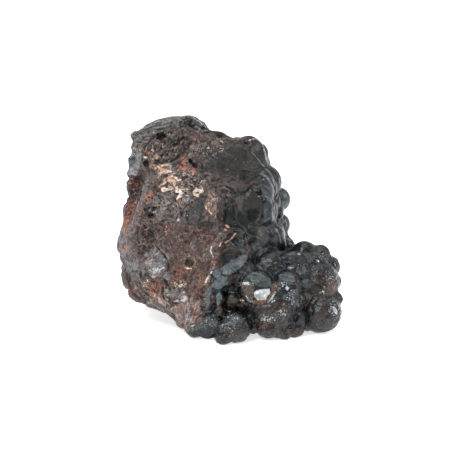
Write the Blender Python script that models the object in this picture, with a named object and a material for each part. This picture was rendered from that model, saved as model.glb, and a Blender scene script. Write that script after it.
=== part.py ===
# A botryoidal hematite specimen: a broken, weathered lump of ore whose right side and foot
# are covered with rounded domes. It is one stone, so it is one solid.
#
# The object's frame has x to the right, y to the back and z up, with the origin under the
# middle of its box. Places are given as they are read off a front view: across and up, in
# millimetres in a picture plane that looks down by VIEW_TILT, and how far back they lie.

import math
import random

import bmesh
import bpy
import numpy as np
from mathutils import Matrix, Vector, noise
from mathutils.bvhtree import BVHTree

MM = 0.001
WIDTH = 79.0                      # mm across the finished stone; the rest follows it
VIEW_TILT = math.radians(18.0)    # how far the front view looks down
VOXEL = 0.7                       # mm, the grain at which the blocks and domes are fused
TRIANGLES = 9400                  # of the finished solid

ORE_COLOUR = (0.085, 0.075, 0.072, 1.0)
ORE_ROUGHNESS = 0.55
ORE_METALLIC = 0.35

# The domes that the front view doesn't show stand round an upright line through the stone.
AXIS = Vector((0.0, 6.0, 0.0))
HIDDEN_TRIES = 900                # places drawn for them
SEED = 7                          # of those draws and of the noise
SKYLINE = 62.0                    # mm, how far up they may reach in the front view
SPACING = 0.56                    # least distance of two of them, as a share of both radii

# Relief of the broken faces, in mm: how wide each form is, and how high.
SWELL_SIZE, SWELL = 14.0, 1.5
FACET_SIZE, FACET = 8.0, 2.0
LUMP_SIZE, LUMP = 4.4, 0.6
SUNK = 0.2                        # how far all of it lies below the blocks' faces
EDGE_WAVE = 3.5                   # length of the waves in the rims of facets and hollows

FLAT_DEPTH = 0.3                  # mm by which a hidden dome's foot is worn flat
FLAT_SNAP = 0.12                  # mm; what lies lower than this is part of a flat it rests on

# Corners of the broken blocks: (across, up, back).
BLOCKS = {
    "body": [
        (-33.4, 62.2, 4), (-33.6, 59.6, 20), (-12.0, 64.0, 3), (-8.0, 65.0, 24),
        (4.0, 63.1, 9), (8.6, 62.9, 12), (7.6, 61.2, 24), (11.6, 56.6, 10), (13.5, 52.0, 20),
        (16.0, 45.0, 11), (17.0, 34.0, 12), (17.0, 27.0, 10), (15.0, 38.0, 26), (14.0, 18.0, 24),
        (-35.8, 46.0, 2), (-37.2, 33.0, 1), (-37.0, 20.0, 1), (-37.8, 12.2, 1), (-35.8, 10.0, -2),
        (-35.0, 50.0, 20), (-36.0, 26.0, 22), (-32.0, 14.0, 22),
        (-9.0, 56.0, -4), (-5.0, 44.0, -10), (-3.5, 34.0, -15), (-4.0, 22.0, -19), (-7.0, 9.0, -21),
        (3.0, 47.0, -6), (7.5, 43.0, -3), (3.0, 36.0, -10), (5.0, 28.0, -10), (11.0, 24.0, -5),
        (-28.5, 50.0, -3), (-30.0, 42.0, -5), (-33.0, 30.0, -6), (-33.5, 20.0, -6),
        (-31.8, 6.1, -7), (-28.0, 4.1, -9), (-22.8, 2.7, -13), (-12.0, 2.0, -18),
        (-22.0, 4.9, 17), (-6.0, 7.6, 26), (12.0, 6.1, 21), (10.0, 3.0, 4),
        (-6.0, 52.0, 29), (-8.0, 30.0, 31), (10.0, 46.0, 28),
    ],
    "crown": [
        (-34.5, 64.0, 5), (-31.6, 66.8, 8), (-26.4, 69.2, 10), (-20.5, 71.0, 11), (-15.3, 71.8, 12),
        (-11.8, 70.2, 13), (-8.4, 68.2, 13), (-6.0, 66.3, 14), (-34.0, 58.0, 1), (-14.0, 60.0, 0),
        (-8.0, 60.0, 4), (-29.0, 64.0, 21), (-12.0, 67.0, 21), (-30.0, 55.0, 24), (-9.0, 57.0, 25),
    ],
    "hump": [
        (-8.0, 66.2, 14), (-5.4, 66.6, 13), (-2.3, 66.4, 13), (0.4, 65.0, 13), (3.0, 63.4, 12),
        (-8.0, 58.0, 3), (2.0, 58.0, 4), (-7.0, 62.0, 23), (2.0, 61.0, 23),
    ],
    "cheek": [
        (-39.1, 28.2, 2), (-39.3, 23.0, 2), (-38.3, 20.0, 1), (-37.0, 34.0, 2), (-34.5, 31.0, -6),
        (-34.5, 19.5, -6), (-34.0, 30.0, 10), (-34.0, 20.0, 10),
    ],
    "toe": [
        (-21.0, 1.5, -14), (-16.5, -2.8, -17), (-12.5, -5.2, -18), (-5.0, -4.0, -20),
        (-2.0, 8.0, -21), (-6.0, 20.0, -20), (-14.0, 14.0, -19), (-20.0, 12.0, -16),
        (-16.0, 5.0, -4), (-8.0, 3.0, -4), (-4.0, 12.0, -4),
    ],
    "back_low": [
        (-24.0, 40.0, 28), (-4.0, 46.0, 30), (8.0, 40.0, 29), (11.0, 24.0, 27), (-2.0, 14.0, 30),
        (-20.0, 18.0, 30), (-27.0, 28.0, 27), (-10.0, 32.0, 33), (2.0, 30.0, 32), (-8.0, 30.0, 20),
    ],
    "back_high": [
        (-16.0, 62.0, 22), (2.0, 62.0, 22), (6.0, 56.0, 25), (-2.0, 50.0, 31), (-14.0, 50.0, 31),
        (-20.0, 56.0, 26), (-6.0, 50.0, 18),
    ],
    "foot": [
        (-6.0, -2.0, -20), (10.0, -3.0, -19), (30.0, 0.0, -12), (34.0, 6.0, -6),
        (35.0, 17.0, 0), (27.0, 24.5, 2), (16.0, 24.0, 0), (4.0, 14.0, -16), (14.0, 12.0, -17),
        (30.0, 8.0, 12), (22.0, 22.0, 12), (10.0, 7.6, 20), (26.0, 5.2, 12), (-4.0, 5.0, 10),
    ],
}

# The domes that the front view shows: (across, up, back, radius).
DOMES = [
    # the foot
    (14.7, 4.6, -15, 9.8), (20.0, 11.5, -15, 5.4), (9.5, 11.2, -17, 6.2), (13.6, -2.0, -21, 4.3),
    (2.5, -2.4, -23, 5.3), (-2.2, -4.2, -24.8, 4.0), (-7.3, -2.1, -22, 4.5), (-11.9, -2.2, -19, 3.9),
    (32.2, 2.4, -12.7, 7.0), (36.6, 7.0, -8, 3.1), (31.2, 13.3, -6, 7.2), (35.4, 13.0, -2, 4.0),
    (26.5, 23.0, 0, 4.5), (31.9, 22.2, 1, 3.9), (35.2, 18.6, 2, 3.8), (29.5, 18.4, -4, 5.0),
    (19.3, -5.0, -21, 1.9), (23.0, -2.8, -18, 3.2), (24.5, 7.0, -10, 5.6), (22.0, 16.5, -6, 7.0),
    (14.5, 17.5, -7, 7.2), (25.0, 13.0, -9, 5.6), (5.0, 16.0, -13, 5.0), (-3.2, 15.2, -15.5, 5.4),
    # the right side, seen nearly edge on
    (12.4, 45.6, 1, 4.4), (11.5, 47.6, 8, 6.2), (16.4, 41.8, 10, 4.3), (16.4, 33.2, 10, 4.2),
    (7.4, 38.5, 1, 8.6), (1.2, 37.4, -2, 8.4), (9.0, 57.5, 10, 4.2), (9.6, 54.0, 11, 4.9),
    (6.8, 60.0, 12, 4.5), (12.6, 29.5, 3, 7.0), (16.0, 27.0, 7, 5.2), (6.0, 28.0, -2, 8.4),
    (19.6, 25.2, 7, 3.6), (1.0, 24.0, -8, 6.0),
]

# Flat breaks: (across, up, radius, how deep, the way the face looks).
FACETS = {
    "cap_left": (5.8, 17.4, 4.4, 0.9, (-0.35, -0.62, 0.70)),
    "cap_right": (11.8, 16.0, 4.2, 1.0, (0.25, -0.55, 0.80)),
    "cap_front": (9.4, 10.2, 3.6, 1.0, (0.10, -0.93, 0.36)),
    "knee": (-6.0, 14.6, 5.2, 0.6, (0.20, -0.90, 0.40)),
    "lilac": (-25.9, 20.6, 5.6, 0.8, (-0.28, -0.90, 0.34)),
    "shoulder": (1.4, 57.0, 9.0, 0.7, (0.18, -0.86, 0.48)),
    "shoulder_right": (7.7, 50.5, 6.5, 0.6, (0.62, -0.74, 0.26)),
    "lower_left": (-29.0, 12.5, 5.5, 0.7, (-0.45, -0.80, -0.25)),
}

# Hollows, and swellings as hollows of negative depth: (across, up, radius, height over width,
# depth, how sharp the rim is).
HOLLOWS = {
    "top_hole": (-24.2, 64.2, 1.9, 0.8, 1.5, 4),
    "pit_upper_left": (-29.7, 56.0, 2.0, 1.2, 1.6, 4),
    "pit_upper_mid": (-12.2, 55.0, 2.2, 1.0, 1.5, 4),
    "pit_mid_left": (-28.0, 37.4, 2.0, 1.6, 1.5, 4),
    "pit_round": (-14.0, 19.6, 1.8, 1.0, 1.2, 4),
    "cavity": (-33.2, 46.2, 4.2, 1.7, 1.6, 3),
    "groove_left": (-27.2, 30.5, 4.6, 1.7, 1.0, 3),
    "depression": (-12.9, 37.6, 5.4, 1.0, 1.5, 3),
    "crease_right": (-1.4, 33.0, 4.0, 1.3, 1.6, 3),
    "recess": (1.4, 25.6, 5.6, 0.9, 3.4, 4),
    "gap_front": (0.6, 8.6, 4.4, 0.9, 4.4, 3),
    "gap_right": (23.4, -0.6, 2.6, 1.3, 2.2, 3),
    "gap_between": (20.6, 0.2, 2.6, 1.4, 1.2, 3),
    "notch_under_cap": (4.2, 3.4, 2.4, 1.6, 1.4, 3),
    "dip_crown": (-6.6, 59.2, 4.6, 0.8, 1.0, 3),
    "dip_shoulder": (-3.0, 47.5, 5.0, 0.8, 0.9, 3),
    "ledge_under_crown": (-20.0, 61.0, 5.2, 0.45, 1.0, 4),
    "lens": (-4.9, 40.6, 4.4, 1.3, -1.3, 3),
    "knob": (-19.1, 9.6, 3.9, 0.9, -1.3, 3),
    "brow": (-16.5, 49.5, 7.0, 0.7, -1.2, 2),
    "belly": (-20.0, 27.0, 8.0, 1.0, -1.2, 2),
    "toe_bulge": (-15.0, 3.6, 5.6, 0.8, -1.3, 2),
    "rim_of_recess": (-5.0, 22.0, 3.4, 1.6, -1.3, 3),
    "lip_over_recess": (2.6, 31.4, 4.0, 0.5, -1.2, 3),
    "ridge_top": (-30.4, 46.0, 2.4, 2.4, -1.1, 2),
    "ridge_low": (-33.4, 34.5, 2.4, 2.4, -1.1, 2),
    "blue_facet_edge": (-3.4, 14.0, 3.0, 1.3, -0.9, 3),
}


def at(across, up, back):
    """The point of the object's frame, in mm, that the front view shows across and up, that far back."""
    height = (up - back * math.sin(VIEW_TILT)) / math.cos(VIEW_TILT)
    return Vector((across, back, height))


def clear_scene():
    for old in list(bpy.data.objects):
        bpy.data.objects.remove(old)


def add_block(shells, corners):
    """One broken block, as the convex hull of its corners."""
    block = bmesh.new()
    for corner in corners:
        block.verts.new(at(*corner) * MM)
    hull = bmesh.ops.convex_hull(block, input=block.verts)
    loose = [v for v in hull["geom_interior"] if isinstance(v, bmesh.types.BMVert)]
    bmesh.ops.delete(block, geom=loose, context="VERTS")
    bmesh.ops.recalc_face_normals(block, faces=block.faces)
    mesh = bpy.data.meshes.new("block")
    block.to_mesh(mesh)
    block.free()
    shells.from_mesh(mesh)
    bpy.data.meshes.remove(mesh)


def add_domes(shells, domes):
    ball = bmesh.new()
    bmesh.ops.create_icosphere(ball, subdivisions=4, radius=1.0)
    unit = bpy.data.meshes.new("ball")
    ball.to_mesh(unit)
    ball.free()
    for centre, radius in domes:
        dome = unit.copy()
        dome.transform(Matrix.Translation(centre * MM) @ Matrix.Scale(radius * MM, 4))
        shells.from_mesh(dome)
        bpy.data.meshes.remove(dome)
    bpy.data.meshes.remove(unit)


def hidden_domes(shells):
    """Domes over the right side and most of the back: (centre, radius) of each."""
    tree = BVHTree.FromBMesh(shells)
    draw = random.Random(SEED)
    found = []
    for attempt in range(HIDDEN_TRIES):
        turn = math.radians(draw.uniform(-10.0, 150.0))
        radius = draw.uniform(4.0, 6.5) + draw.random() ** 3 * 6.0
        proud = radius * draw.uniform(0.20, 0.32) + max(0.0, math.sin(turn)) * 0.6
        outward = Vector((math.cos(turn), math.sin(turn), 0.0))
        start = AXIS + outward * 90.0 + Vector((0.0, 0.0, draw.uniform(4.0, 62.0)))
        place, normal = tree.ray_cast(start * MM, -outward)[:2]
        if place is None or normal.dot(outward) < 0.3:
            continue
        centre = place / MM - normal * (radius - proud)
        centre.z = max(centre.z, radius - FLAT_DEPTH)
        top = centre.z * math.cos(VIEW_TILT) + centre.y * math.sin(VIEW_TILT) + radius
        apart = all((centre - other).length > SPACING * (radius + size) for other, size in found)
        if top < SKYLINE and apart:
            found.append((centre, radius))
    return found


def object_from(shells, name):
    mesh = bpy.data.meshes.new(name)
    shells.to_mesh(mesh)
    shells.free()
    made = bpy.data.objects.new(name, mesh)
    bpy.context.scene.collection.objects.link(made)
    return made


def evaluated_mesh(source):
    """The mesh of source with its modifiers applied; source itself is removed."""
    bpy.context.view_layer.update()
    graph = bpy.context.evaluated_depsgraph_get()
    mesh = bpy.data.meshes.new_from_object(source.evaluated_get(graph))
    bpy.data.objects.remove(source)
    return mesh


def fused(shells):
    """One closed surface round all the shells."""
    lumps = object_from(shells, "lumps")
    grain = lumps.modifiers.new("fuse", "REMESH")
    grain.mode = "VOXEL"
    grain.voxel_size = VOXEL * MM
    return evaluated_mesh(lumps)


def tree_of(mesh):
    shape = bmesh.new()
    shape.from_mesh(mesh)
    tree = BVHTree.FromBMesh(shape)
    shape.free()
    return tree


def front_hit(tree, across, up):
    """Where the front view's line at (across, up) meets the surface, in mm, and the normal there."""
    start = at(across, up, -200.0)
    ahead = (at(across, up, 0.0) - start).normalized()
    place, normal = tree.ray_cast(start * MM, ahead)[:2]
    return np.array(place / MM), np.array(normal)


def points_of(mesh):
    flat = np.empty(len(mesh.vertices) * 3, np.float32)
    mesh.vertices.foreach_get("co", flat)
    return flat.reshape(-1, 3).astype(float) / MM


def normals_of(mesh):
    flat = np.empty(len(mesh.vertices) * 3, np.float32)
    mesh.vertices.foreach_get("normal", flat)
    return flat.reshape(-1, 3).astype(float)


def put_points(mesh, points):
    mesh.vertices.foreach_set("co", (points * MM).astype(np.float32).ravel())
    mesh.update()


def roughness_share(points, domes):
    """1 on the broken faces and 0 on the domes, for each point."""
    nearest = np.full(len(points), 9.0)
    for centre, radius in domes:
        gap = np.abs(np.linalg.norm(points - np.array(centre), axis=1) - radius)
        nearest = np.minimum(nearest, gap)
    return np.clip((nearest - 0.25) / 1.2, 0.0, 1.0)


def broken_relief(point):
    """Height of the broken faces over a flat one, in mm: swells, tilted facets with small steps, lumps."""
    place = Vector(point)
    warped = place / FACET_SIZE + noise.noise_vector(place / 6.0) * 0.35
    seed = noise.voronoi(warped)[1][0]
    tilt = noise.cell_vector(seed * 37.0) - Vector((0.5, 0.5, 0.5))
    swell = noise.noise(place / SWELL_SIZE) * SWELL
    facet = tilt.dot(warped - seed) * FACET
    lump = noise.noise(place / LUMP_SIZE) * LUMP
    return swell + facet + lump - SUNK


def carve(mesh, domes):
    """Breaks the blocks' faces, then shaves the facets and sinks the hollows."""
    points = points_of(mesh)
    share = roughness_share(points, domes)
    heights = np.array([broken_relief(point) for point in points])
    put_points(mesh, points + normals_of(mesh) * (heights * share)[:, None])
    tree = tree_of(mesh)
    points = points_of(mesh)
    wobble = 1.0 + 0.3 * np.array([noise.noise(Vector(point) / EDGE_WAVE) for point in points])
    for across, up, radius, sink, looks in FACETS.values():
        place, normal = front_hit(tree, across, up)
        facing = np.array(looks) / np.linalg.norm(looks)
        over = np.clip((points - place) @ facing + sink, 0.0, None)
        reach = np.linalg.norm(points - place, axis=1) / radius * wobble
        fade = np.clip((1.0 - reach) * 4.0, 0.0, 1.0)
        points -= facing * (over * fade)[:, None]
    for across, up, radius, tall, depth, sharp in HOLLOWS.values():
        place, normal = front_hit(tree, across, up)
        away = (points - place) / np.array((1.0, 1.0, tall))
        reach = np.clip(np.linalg.norm(away, axis=1) / radius * wobble, 0.0, 1.0)
        points -= normal * (depth * (1.0 - reach ** sharp) ** 2)[:, None]
    points[:, 2] = np.maximum(points[:, 2], 0.0)
    put_points(mesh, points)


def coarser(mesh):
    """The same surface with TRIANGLES triangles."""
    fine = bpy.data.objects.new("fine", mesh)
    bpy.context.scene.collection.objects.link(fine)
    fewer = fine.modifiers.new("fewer", "DECIMATE")
    fewer.ratio = TRIANGLES / (2 * len(mesh.vertices) - 4)
    return evaluated_mesh(fine)


def settle(mesh):
    """Makes what touches the ground exactly flat, and sets the stone over the origin at its width."""
    points = points_of(mesh)
    points[points[:, 2] < FLAT_SNAP, 2] = 0.0
    low, high = points.min(axis=0), points.max(axis=0)
    middle = (low + high) / 2 * (1.0, 1.0, 0.0)
    put_points(mesh, (points - middle) * WIDTH / (high[0] - low[0]))


def ore_material():
    ore = bpy.data.materials.new("hematite_ore")
    ore.use_nodes = True
    shader = ore.node_tree.nodes["Principled BSDF"]
    shader.inputs["Base Color"].default_value = ORE_COLOUR
    shader.inputs["Roughness"].default_value = ORE_ROUGHNESS
    shader.inputs["Metallic"].default_value = ORE_METALLIC
    return ore


def main():
    clear_scene()
    noise.seed_set(SEED)
    shells = bmesh.new()
    for corners in BLOCKS.values():
        add_block(shells, corners)
    domes = [(at(across, up, back), radius) for across, up, back, radius in DOMES]
    domes += hidden_domes(shells)
    add_domes(shells, domes)
    mesh = fused(shells)
    carve(mesh, domes)
    mesh = coarser(mesh)
    settle(mesh)
    mesh.name = "specimen"
    mesh.materials.append(ore_material())
    specimen = bpy.data.objects.new("specimen", mesh)
    bpy.context.scene.collection.objects.link(specimen)


main()
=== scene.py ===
import time
from math import cos, radians, sin

import bmesh
import bpy
import numpy as np
from mathutils import Matrix, Vector, noise


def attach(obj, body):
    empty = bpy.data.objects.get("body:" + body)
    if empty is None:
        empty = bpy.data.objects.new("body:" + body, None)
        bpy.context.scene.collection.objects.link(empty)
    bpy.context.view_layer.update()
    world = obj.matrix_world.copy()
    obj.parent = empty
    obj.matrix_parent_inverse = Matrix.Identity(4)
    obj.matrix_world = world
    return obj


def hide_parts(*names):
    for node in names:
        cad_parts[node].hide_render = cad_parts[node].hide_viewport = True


startTime = time.time()
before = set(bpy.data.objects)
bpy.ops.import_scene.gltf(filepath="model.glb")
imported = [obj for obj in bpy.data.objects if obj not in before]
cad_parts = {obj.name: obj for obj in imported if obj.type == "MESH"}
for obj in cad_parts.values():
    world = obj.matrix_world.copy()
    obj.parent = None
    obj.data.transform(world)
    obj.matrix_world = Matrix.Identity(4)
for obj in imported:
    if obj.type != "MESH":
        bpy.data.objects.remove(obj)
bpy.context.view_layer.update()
noise.seed_set(5)
mm = 0.001


def report(stage):
    print(f"{stage}, {time.time() - startTime:.1f} s")


# The view of the photograph: the camera looks along +Y and down by tilt
frontView = {
    "tilt": radians(18.0),
    "distance": 1000.0,          # mm from the camera to its target
    "target": (0.3, 0.0, 31.7),  # mm
    "mmPerPixel": 0.35,          # at the target
    "pixels": 460,
    "sensor": 36.0,              # mm
    "clip": 0.05,                # m
}
midPixel = frontView["pixels"] / 2
lookRight = np.array((1.0, 0.0, 0.0))
lookUp = np.array((0.0, sin(frontView["tilt"]), cos(frontView["tilt"])))
lookAhead = np.array((0.0, cos(frontView["tilt"]), -sin(frontView["tilt"])))
cameraPlace = np.array(frontView["target"]) - lookAhead * frontView["distance"]


def photoPixels(points):
    # Pixel column, pixel row and depth in mm in the front view
    away = points - cameraPlace
    depth = away @ lookAhead
    scale = frontView["distance"] / depth / frontView["mmPerPixel"]
    return midPixel + away @ lookRight * scale, midPixel - away @ lookUp * scale, depth


# The stone's form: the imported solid, with the front domes made exactly round again
stoneForm = {
    "voxel": 0.35,               # mm, grain of the fused mesh
    "weld": 0.01,                # mm
    "triangles": 194000,         # of the finished mesh
    "frontKeep": 0.001,          # how strongly the front keeps its triangles
    "backShift": 3.162,          # mm by which the domes' places lie behind the frame's
    "footRow": 320,              # pixel row of the domes' zero height
    "grow": 0.99628,
    "domes": [                   # (across, up, back, radius), mm
        (14.7, 4.6, -15, 9.8), (20.0, 11.5, -15, 5.4), (9.5, 11.2, -17, 6.2), (13.6, -2.0, -21, 4.3),
        (2.5, -2.4, -23, 5.3), (-2.2, -4.2, -24.8, 4.0), (-7.3, -2.1, -22, 4.5),
        (-11.9, -2.2, -19, 3.9), (32.2, 2.4, -12.7, 7.0), (36.6, 7.0, -8, 3.1),
        (31.2, 13.3, -6, 7.2), (35.4, 13.0, -2, 4.0), (26.5, 23.0, 0, 4.5), (31.9, 22.2, 1, 3.9),
        (35.2, 18.6, 2, 3.8), (29.5, 18.4, -4, 5.0), (19.3, -5.0, -21, 1.9),
        (23.0, -2.8, -18, 3.2), (24.5, 7.0, -10, 5.6), (22.0, 16.5, -6, 7.0),
        (14.5, 17.5, -7, 7.2), (25.0, 13.0, -9, 5.6),
        (12.4, 45.6, 1, 4.4), (12.2, 48.0, 8, 6.3), (17.2, 42.0, 10, 4.4), (17.2, 33.2, 10, 4.3),
        (7.4, 38.5, 1, 8.6), (1.2, 37.4, -2, 8.4), (12.6, 29.5, 3, 7.0), (16.5, 27.0, 7, 5.2),
        (6.0, 28.0, -2, 8.4), (19.8, 25.2, 7, 3.7),
    ],
    # Longer domes: (x, y, half width, half height, turn) in pixels of the photograph, then
    # mm back and half depth
    "ovals": [
        (266.5, 188, 9.0, 13.5, -16, 0.0, 4.4), (265.5, 183, 9.5, 12.5, -20, 1.6, 4.0),
        (263.0, 178, 9.0, 9.0, -20, 2.6, 4.0), (267.0, 211, 8.5, 16.0, -6, -1.2, 4.8),
        (268.5, 211, 9.8, 15.0, -6, 0.8, 4.6), (276.5, 203, 5.0, 9.0, 0, 5.0, 3.6),
        (270.0, 240, 9.0, 17.0, -22, -1.0, 3.4), (277.0, 240, 8.0, 14.0, -32, 1.2, 3.4),
        (251.0, 208, 13.0, 18.5, 4, -1.6, 5.0), (234.0, 212, 10.5, 14.5, 0, -6.0, 4.4),
        (228.0, 250, 11.0, 12.0, 0, -11.5, 4.5), (246.0, 258, 9.0, 13.0, 0, -9.5, 4.0),
        (238.0, 192, 13.0, 6.0, -28, -4.0, 3.0), (226.0, 197, 11.0, 4.5, 12, -6.0, 3.0),
        (236.0, 259, 13.0, 14.0, 25, -13.0, 4.5), (222.0, 281, 9.0, 7.5, -35, -17.5, 4.0),
        (216.0, 272, 7.0, 6.5, -35, -17.0, 3.6), (232.5, 301, 10.0, 9.5, 0, -15.5, 5.0),
        (209.0, 300, 5.0, 13.0, -6, -18.0, 4.0), (219.0, 302, 3.5, 9.0, -4, -18.0, 4.0),
        (251.0, 179, 12.0, 9.0, 15, -0.3, 4.2), (254.0, 184, 8.0, 6.0, 20, -2.0, 3.6),
        (235.0, 235, 12.0, 10.0, -20, -8.5, 4.2), (299.0, 303, 7.0, 11.0, 0, -15.0, 4.0),
        (300.0, 319, 6.0, 9.0, 0, -18.0, 3.0), (279.0, 213, 6.0, 9.0, 0, 6.0, 3.0),
        (253.0, 190, 9.0, 5.0, 12, -0.6, 3.6), (254.0, 328, 5.5, 5.5, 0, -19.5, 3.5),
        (307.5, 326, 5.0, 5.5, 0, -15.0, 3.5), (242.0, 271, 6.0, 8.0, 25, -14.0, 3.0),
        (227.5, 240, 7.5, 3.2, -35, -10.5, 3.0), (241.0, 244, 6.0, 6.0, 0, -10.5, 3.5),
        (286.0, 262, 10.0, 8.0, 0, -8.0, 4.0), (241.5, 300.5, 2.6, 2.4, 0, -18.5, 2.0),
        (301.0, 314, 2.4, 2.6, 0, -18.0, 2.0), (302.0, 322, 2.2, 2.6, 0, -18.5, 2.0),
        (293.0, 322, 2.6, 2.4, 0, -20.5, 2.0), (279.0, 334, 4.0, 4.6, 0, -21.0, 2.6),
        (198.0, 329, 12.0, 7.0, 15, -20.5, 3.2), (244.0, 304, 6.5, 9.0, 0, -16.5, 3.5),
        (219.5, 313, 6.5, 6.5, 0, -20.0, 3.0), (233.0, 288, 9.0, 6.0, 0, -14.5, 3.6),
    ],
}


def framePoint(across, up, back):
    # A place as the front view shows it: across and up in the picture, and back along the floor
    height = (up - back * sin(frontView["tilt"])) / cos(frontView["tilt"])
    return Vector((across, back - stoneForm["backShift"], height)) * stoneForm["grow"]


def pixelPoint(x, y, back):
    size = frontView["mmPerPixel"]
    return framePoint((x - midPixel) * size, (stoneForm["footRow"] - y) * size, back)


def domeShape(across, up, back, radius):
    size = Matrix.Scale(radius * stoneForm["grow"] * mm, 4)
    return Matrix.Translation(framePoint(across, up, back) * mm) @ size


def ovalShape(x, y, wide, high, turn, back, deep):
    # A ball stretched to the oval's half width, half depth and half height
    turned = radians(turn)
    start = pixelPoint(x, y, back)
    ends = (
        pixelPoint(x + wide * cos(turned), y + wide * sin(turned), back),
        pixelPoint(x, y, back + deep),
        pixelPoint(x - high * sin(turned), y + high * cos(turned), back),
    )
    columns = [(end - start) * mm for end in ends] + [start * mm]
    rows = [[column[i] for column in columns] for i in range(3)]
    return Matrix(rows + [(0.0, 0.0, 0.0, 1.0)])


def evaluatedMesh(source):
    bpy.context.view_layer.update()
    graph = bpy.context.evaluated_depsgraph_get()
    return bpy.data.meshes.new_from_object(source.evaluated_get(graph))


def linked(name, data):
    made = bpy.data.objects.new(name, data)
    bpy.context.scene.collection.objects.link(made)
    return made


def fusedMesh():
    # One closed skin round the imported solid, the domes and the ovals
    shells = bmesh.new()
    shells.from_mesh(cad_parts["specimen"].data)
    bmesh.ops.remove_doubles(shells, verts=shells.verts, dist=stoneForm["weld"] * mm)
    ball = bmesh.new()
    bmesh.ops.create_icosphere(ball, subdivisions=5, radius=1.0)
    unit = bpy.data.meshes.new("ball")
    ball.to_mesh(unit)
    shapes = [domeShape(*dome) for dome in stoneForm["domes"]]
    shapes += [ovalShape(*oval) for oval in stoneForm["ovals"]]
    for shape in shapes:
        dome = unit.copy()
        dome.transform(shape)
        shells.from_mesh(dome)
        bpy.data.meshes.remove(dome)
    joined = bpy.data.meshes.new("joined")
    shells.to_mesh(joined)
    lumps = linked("lumps", joined)
    fuse = lumps.modifiers.new("fuse", "REMESH")
    fuse.mode = "VOXEL"
    fuse.voxel_size = stoneForm["voxel"] * mm
    fused = evaluatedMesh(lumps)
    bpy.data.objects.remove(lumps)
    return fused


def meshValues(items, name, kind, width):
    flat = np.empty(len(items) * width, kind)
    items.foreach_get(name, flat)
    return flat.reshape(-1, width)


def pointsOf(mesh):
    return meshValues(mesh.vertices, "co", np.float32, 3).astype(float) / mm


def normalsOf(mesh):
    return meshValues(mesh.vertices, "normal", np.float32, 3).astype(float)


def putPoints(mesh, points):
    mesh.vertices.foreach_set("co", (points * mm).astype(np.float32).ravel())
    mesh.update()


def neighbourMean(values, edges):
    # Mean of each point's neighbours on the mesh
    count = np.bincount(edges.ravel(), minlength=len(values))
    columns = values.reshape(len(values), -1).T
    total = [
        np.bincount(edges[:, 0], column[edges[:, 1]], len(values))
        + np.bincount(edges[:, 1], column[edges[:, 0]], len(values))
        for column in columns
    ]
    return (np.array(total) / count).T.reshape(values.shape)


def spread(values, edges, times, share=0.6):
    # Smooths a value over the mesh
    for step in range(times):
        values = values + (neighbourMean(values, edges) - values) * share
    return values


octaveShift = 31.7               # in cells, so that the octaves don't line up


def noiseField(points, size, octaves=1):
    # Noise whose coarsest cells are size mm wide
    total = np.zeros(len(points))
    for octave in range(octaves):
        scaled = points / size * 2 ** octave + octaveShift * octave
        total += np.array([noise.noise(Vector(p)) for p in scaled]) / 2 ** octave
    return total


# What counts as seen from the front
sight = {
    "cell": 2,                   # pixels a side; in each cell only what is nearest counts
    "depth": 1.6,                # mm behind the nearest that counts too
    "turned": 0.1,               # how far a point may turn away
    "smoothing": 12,             # steps
    "gain": 1.6,
    "loss": 0.4,
    "behind": 9.0,               # pixels that a hidden point is put off
    "wave": (2.6, 3),            # the noise in the rims of marks: mm wide, octaves
}


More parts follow.
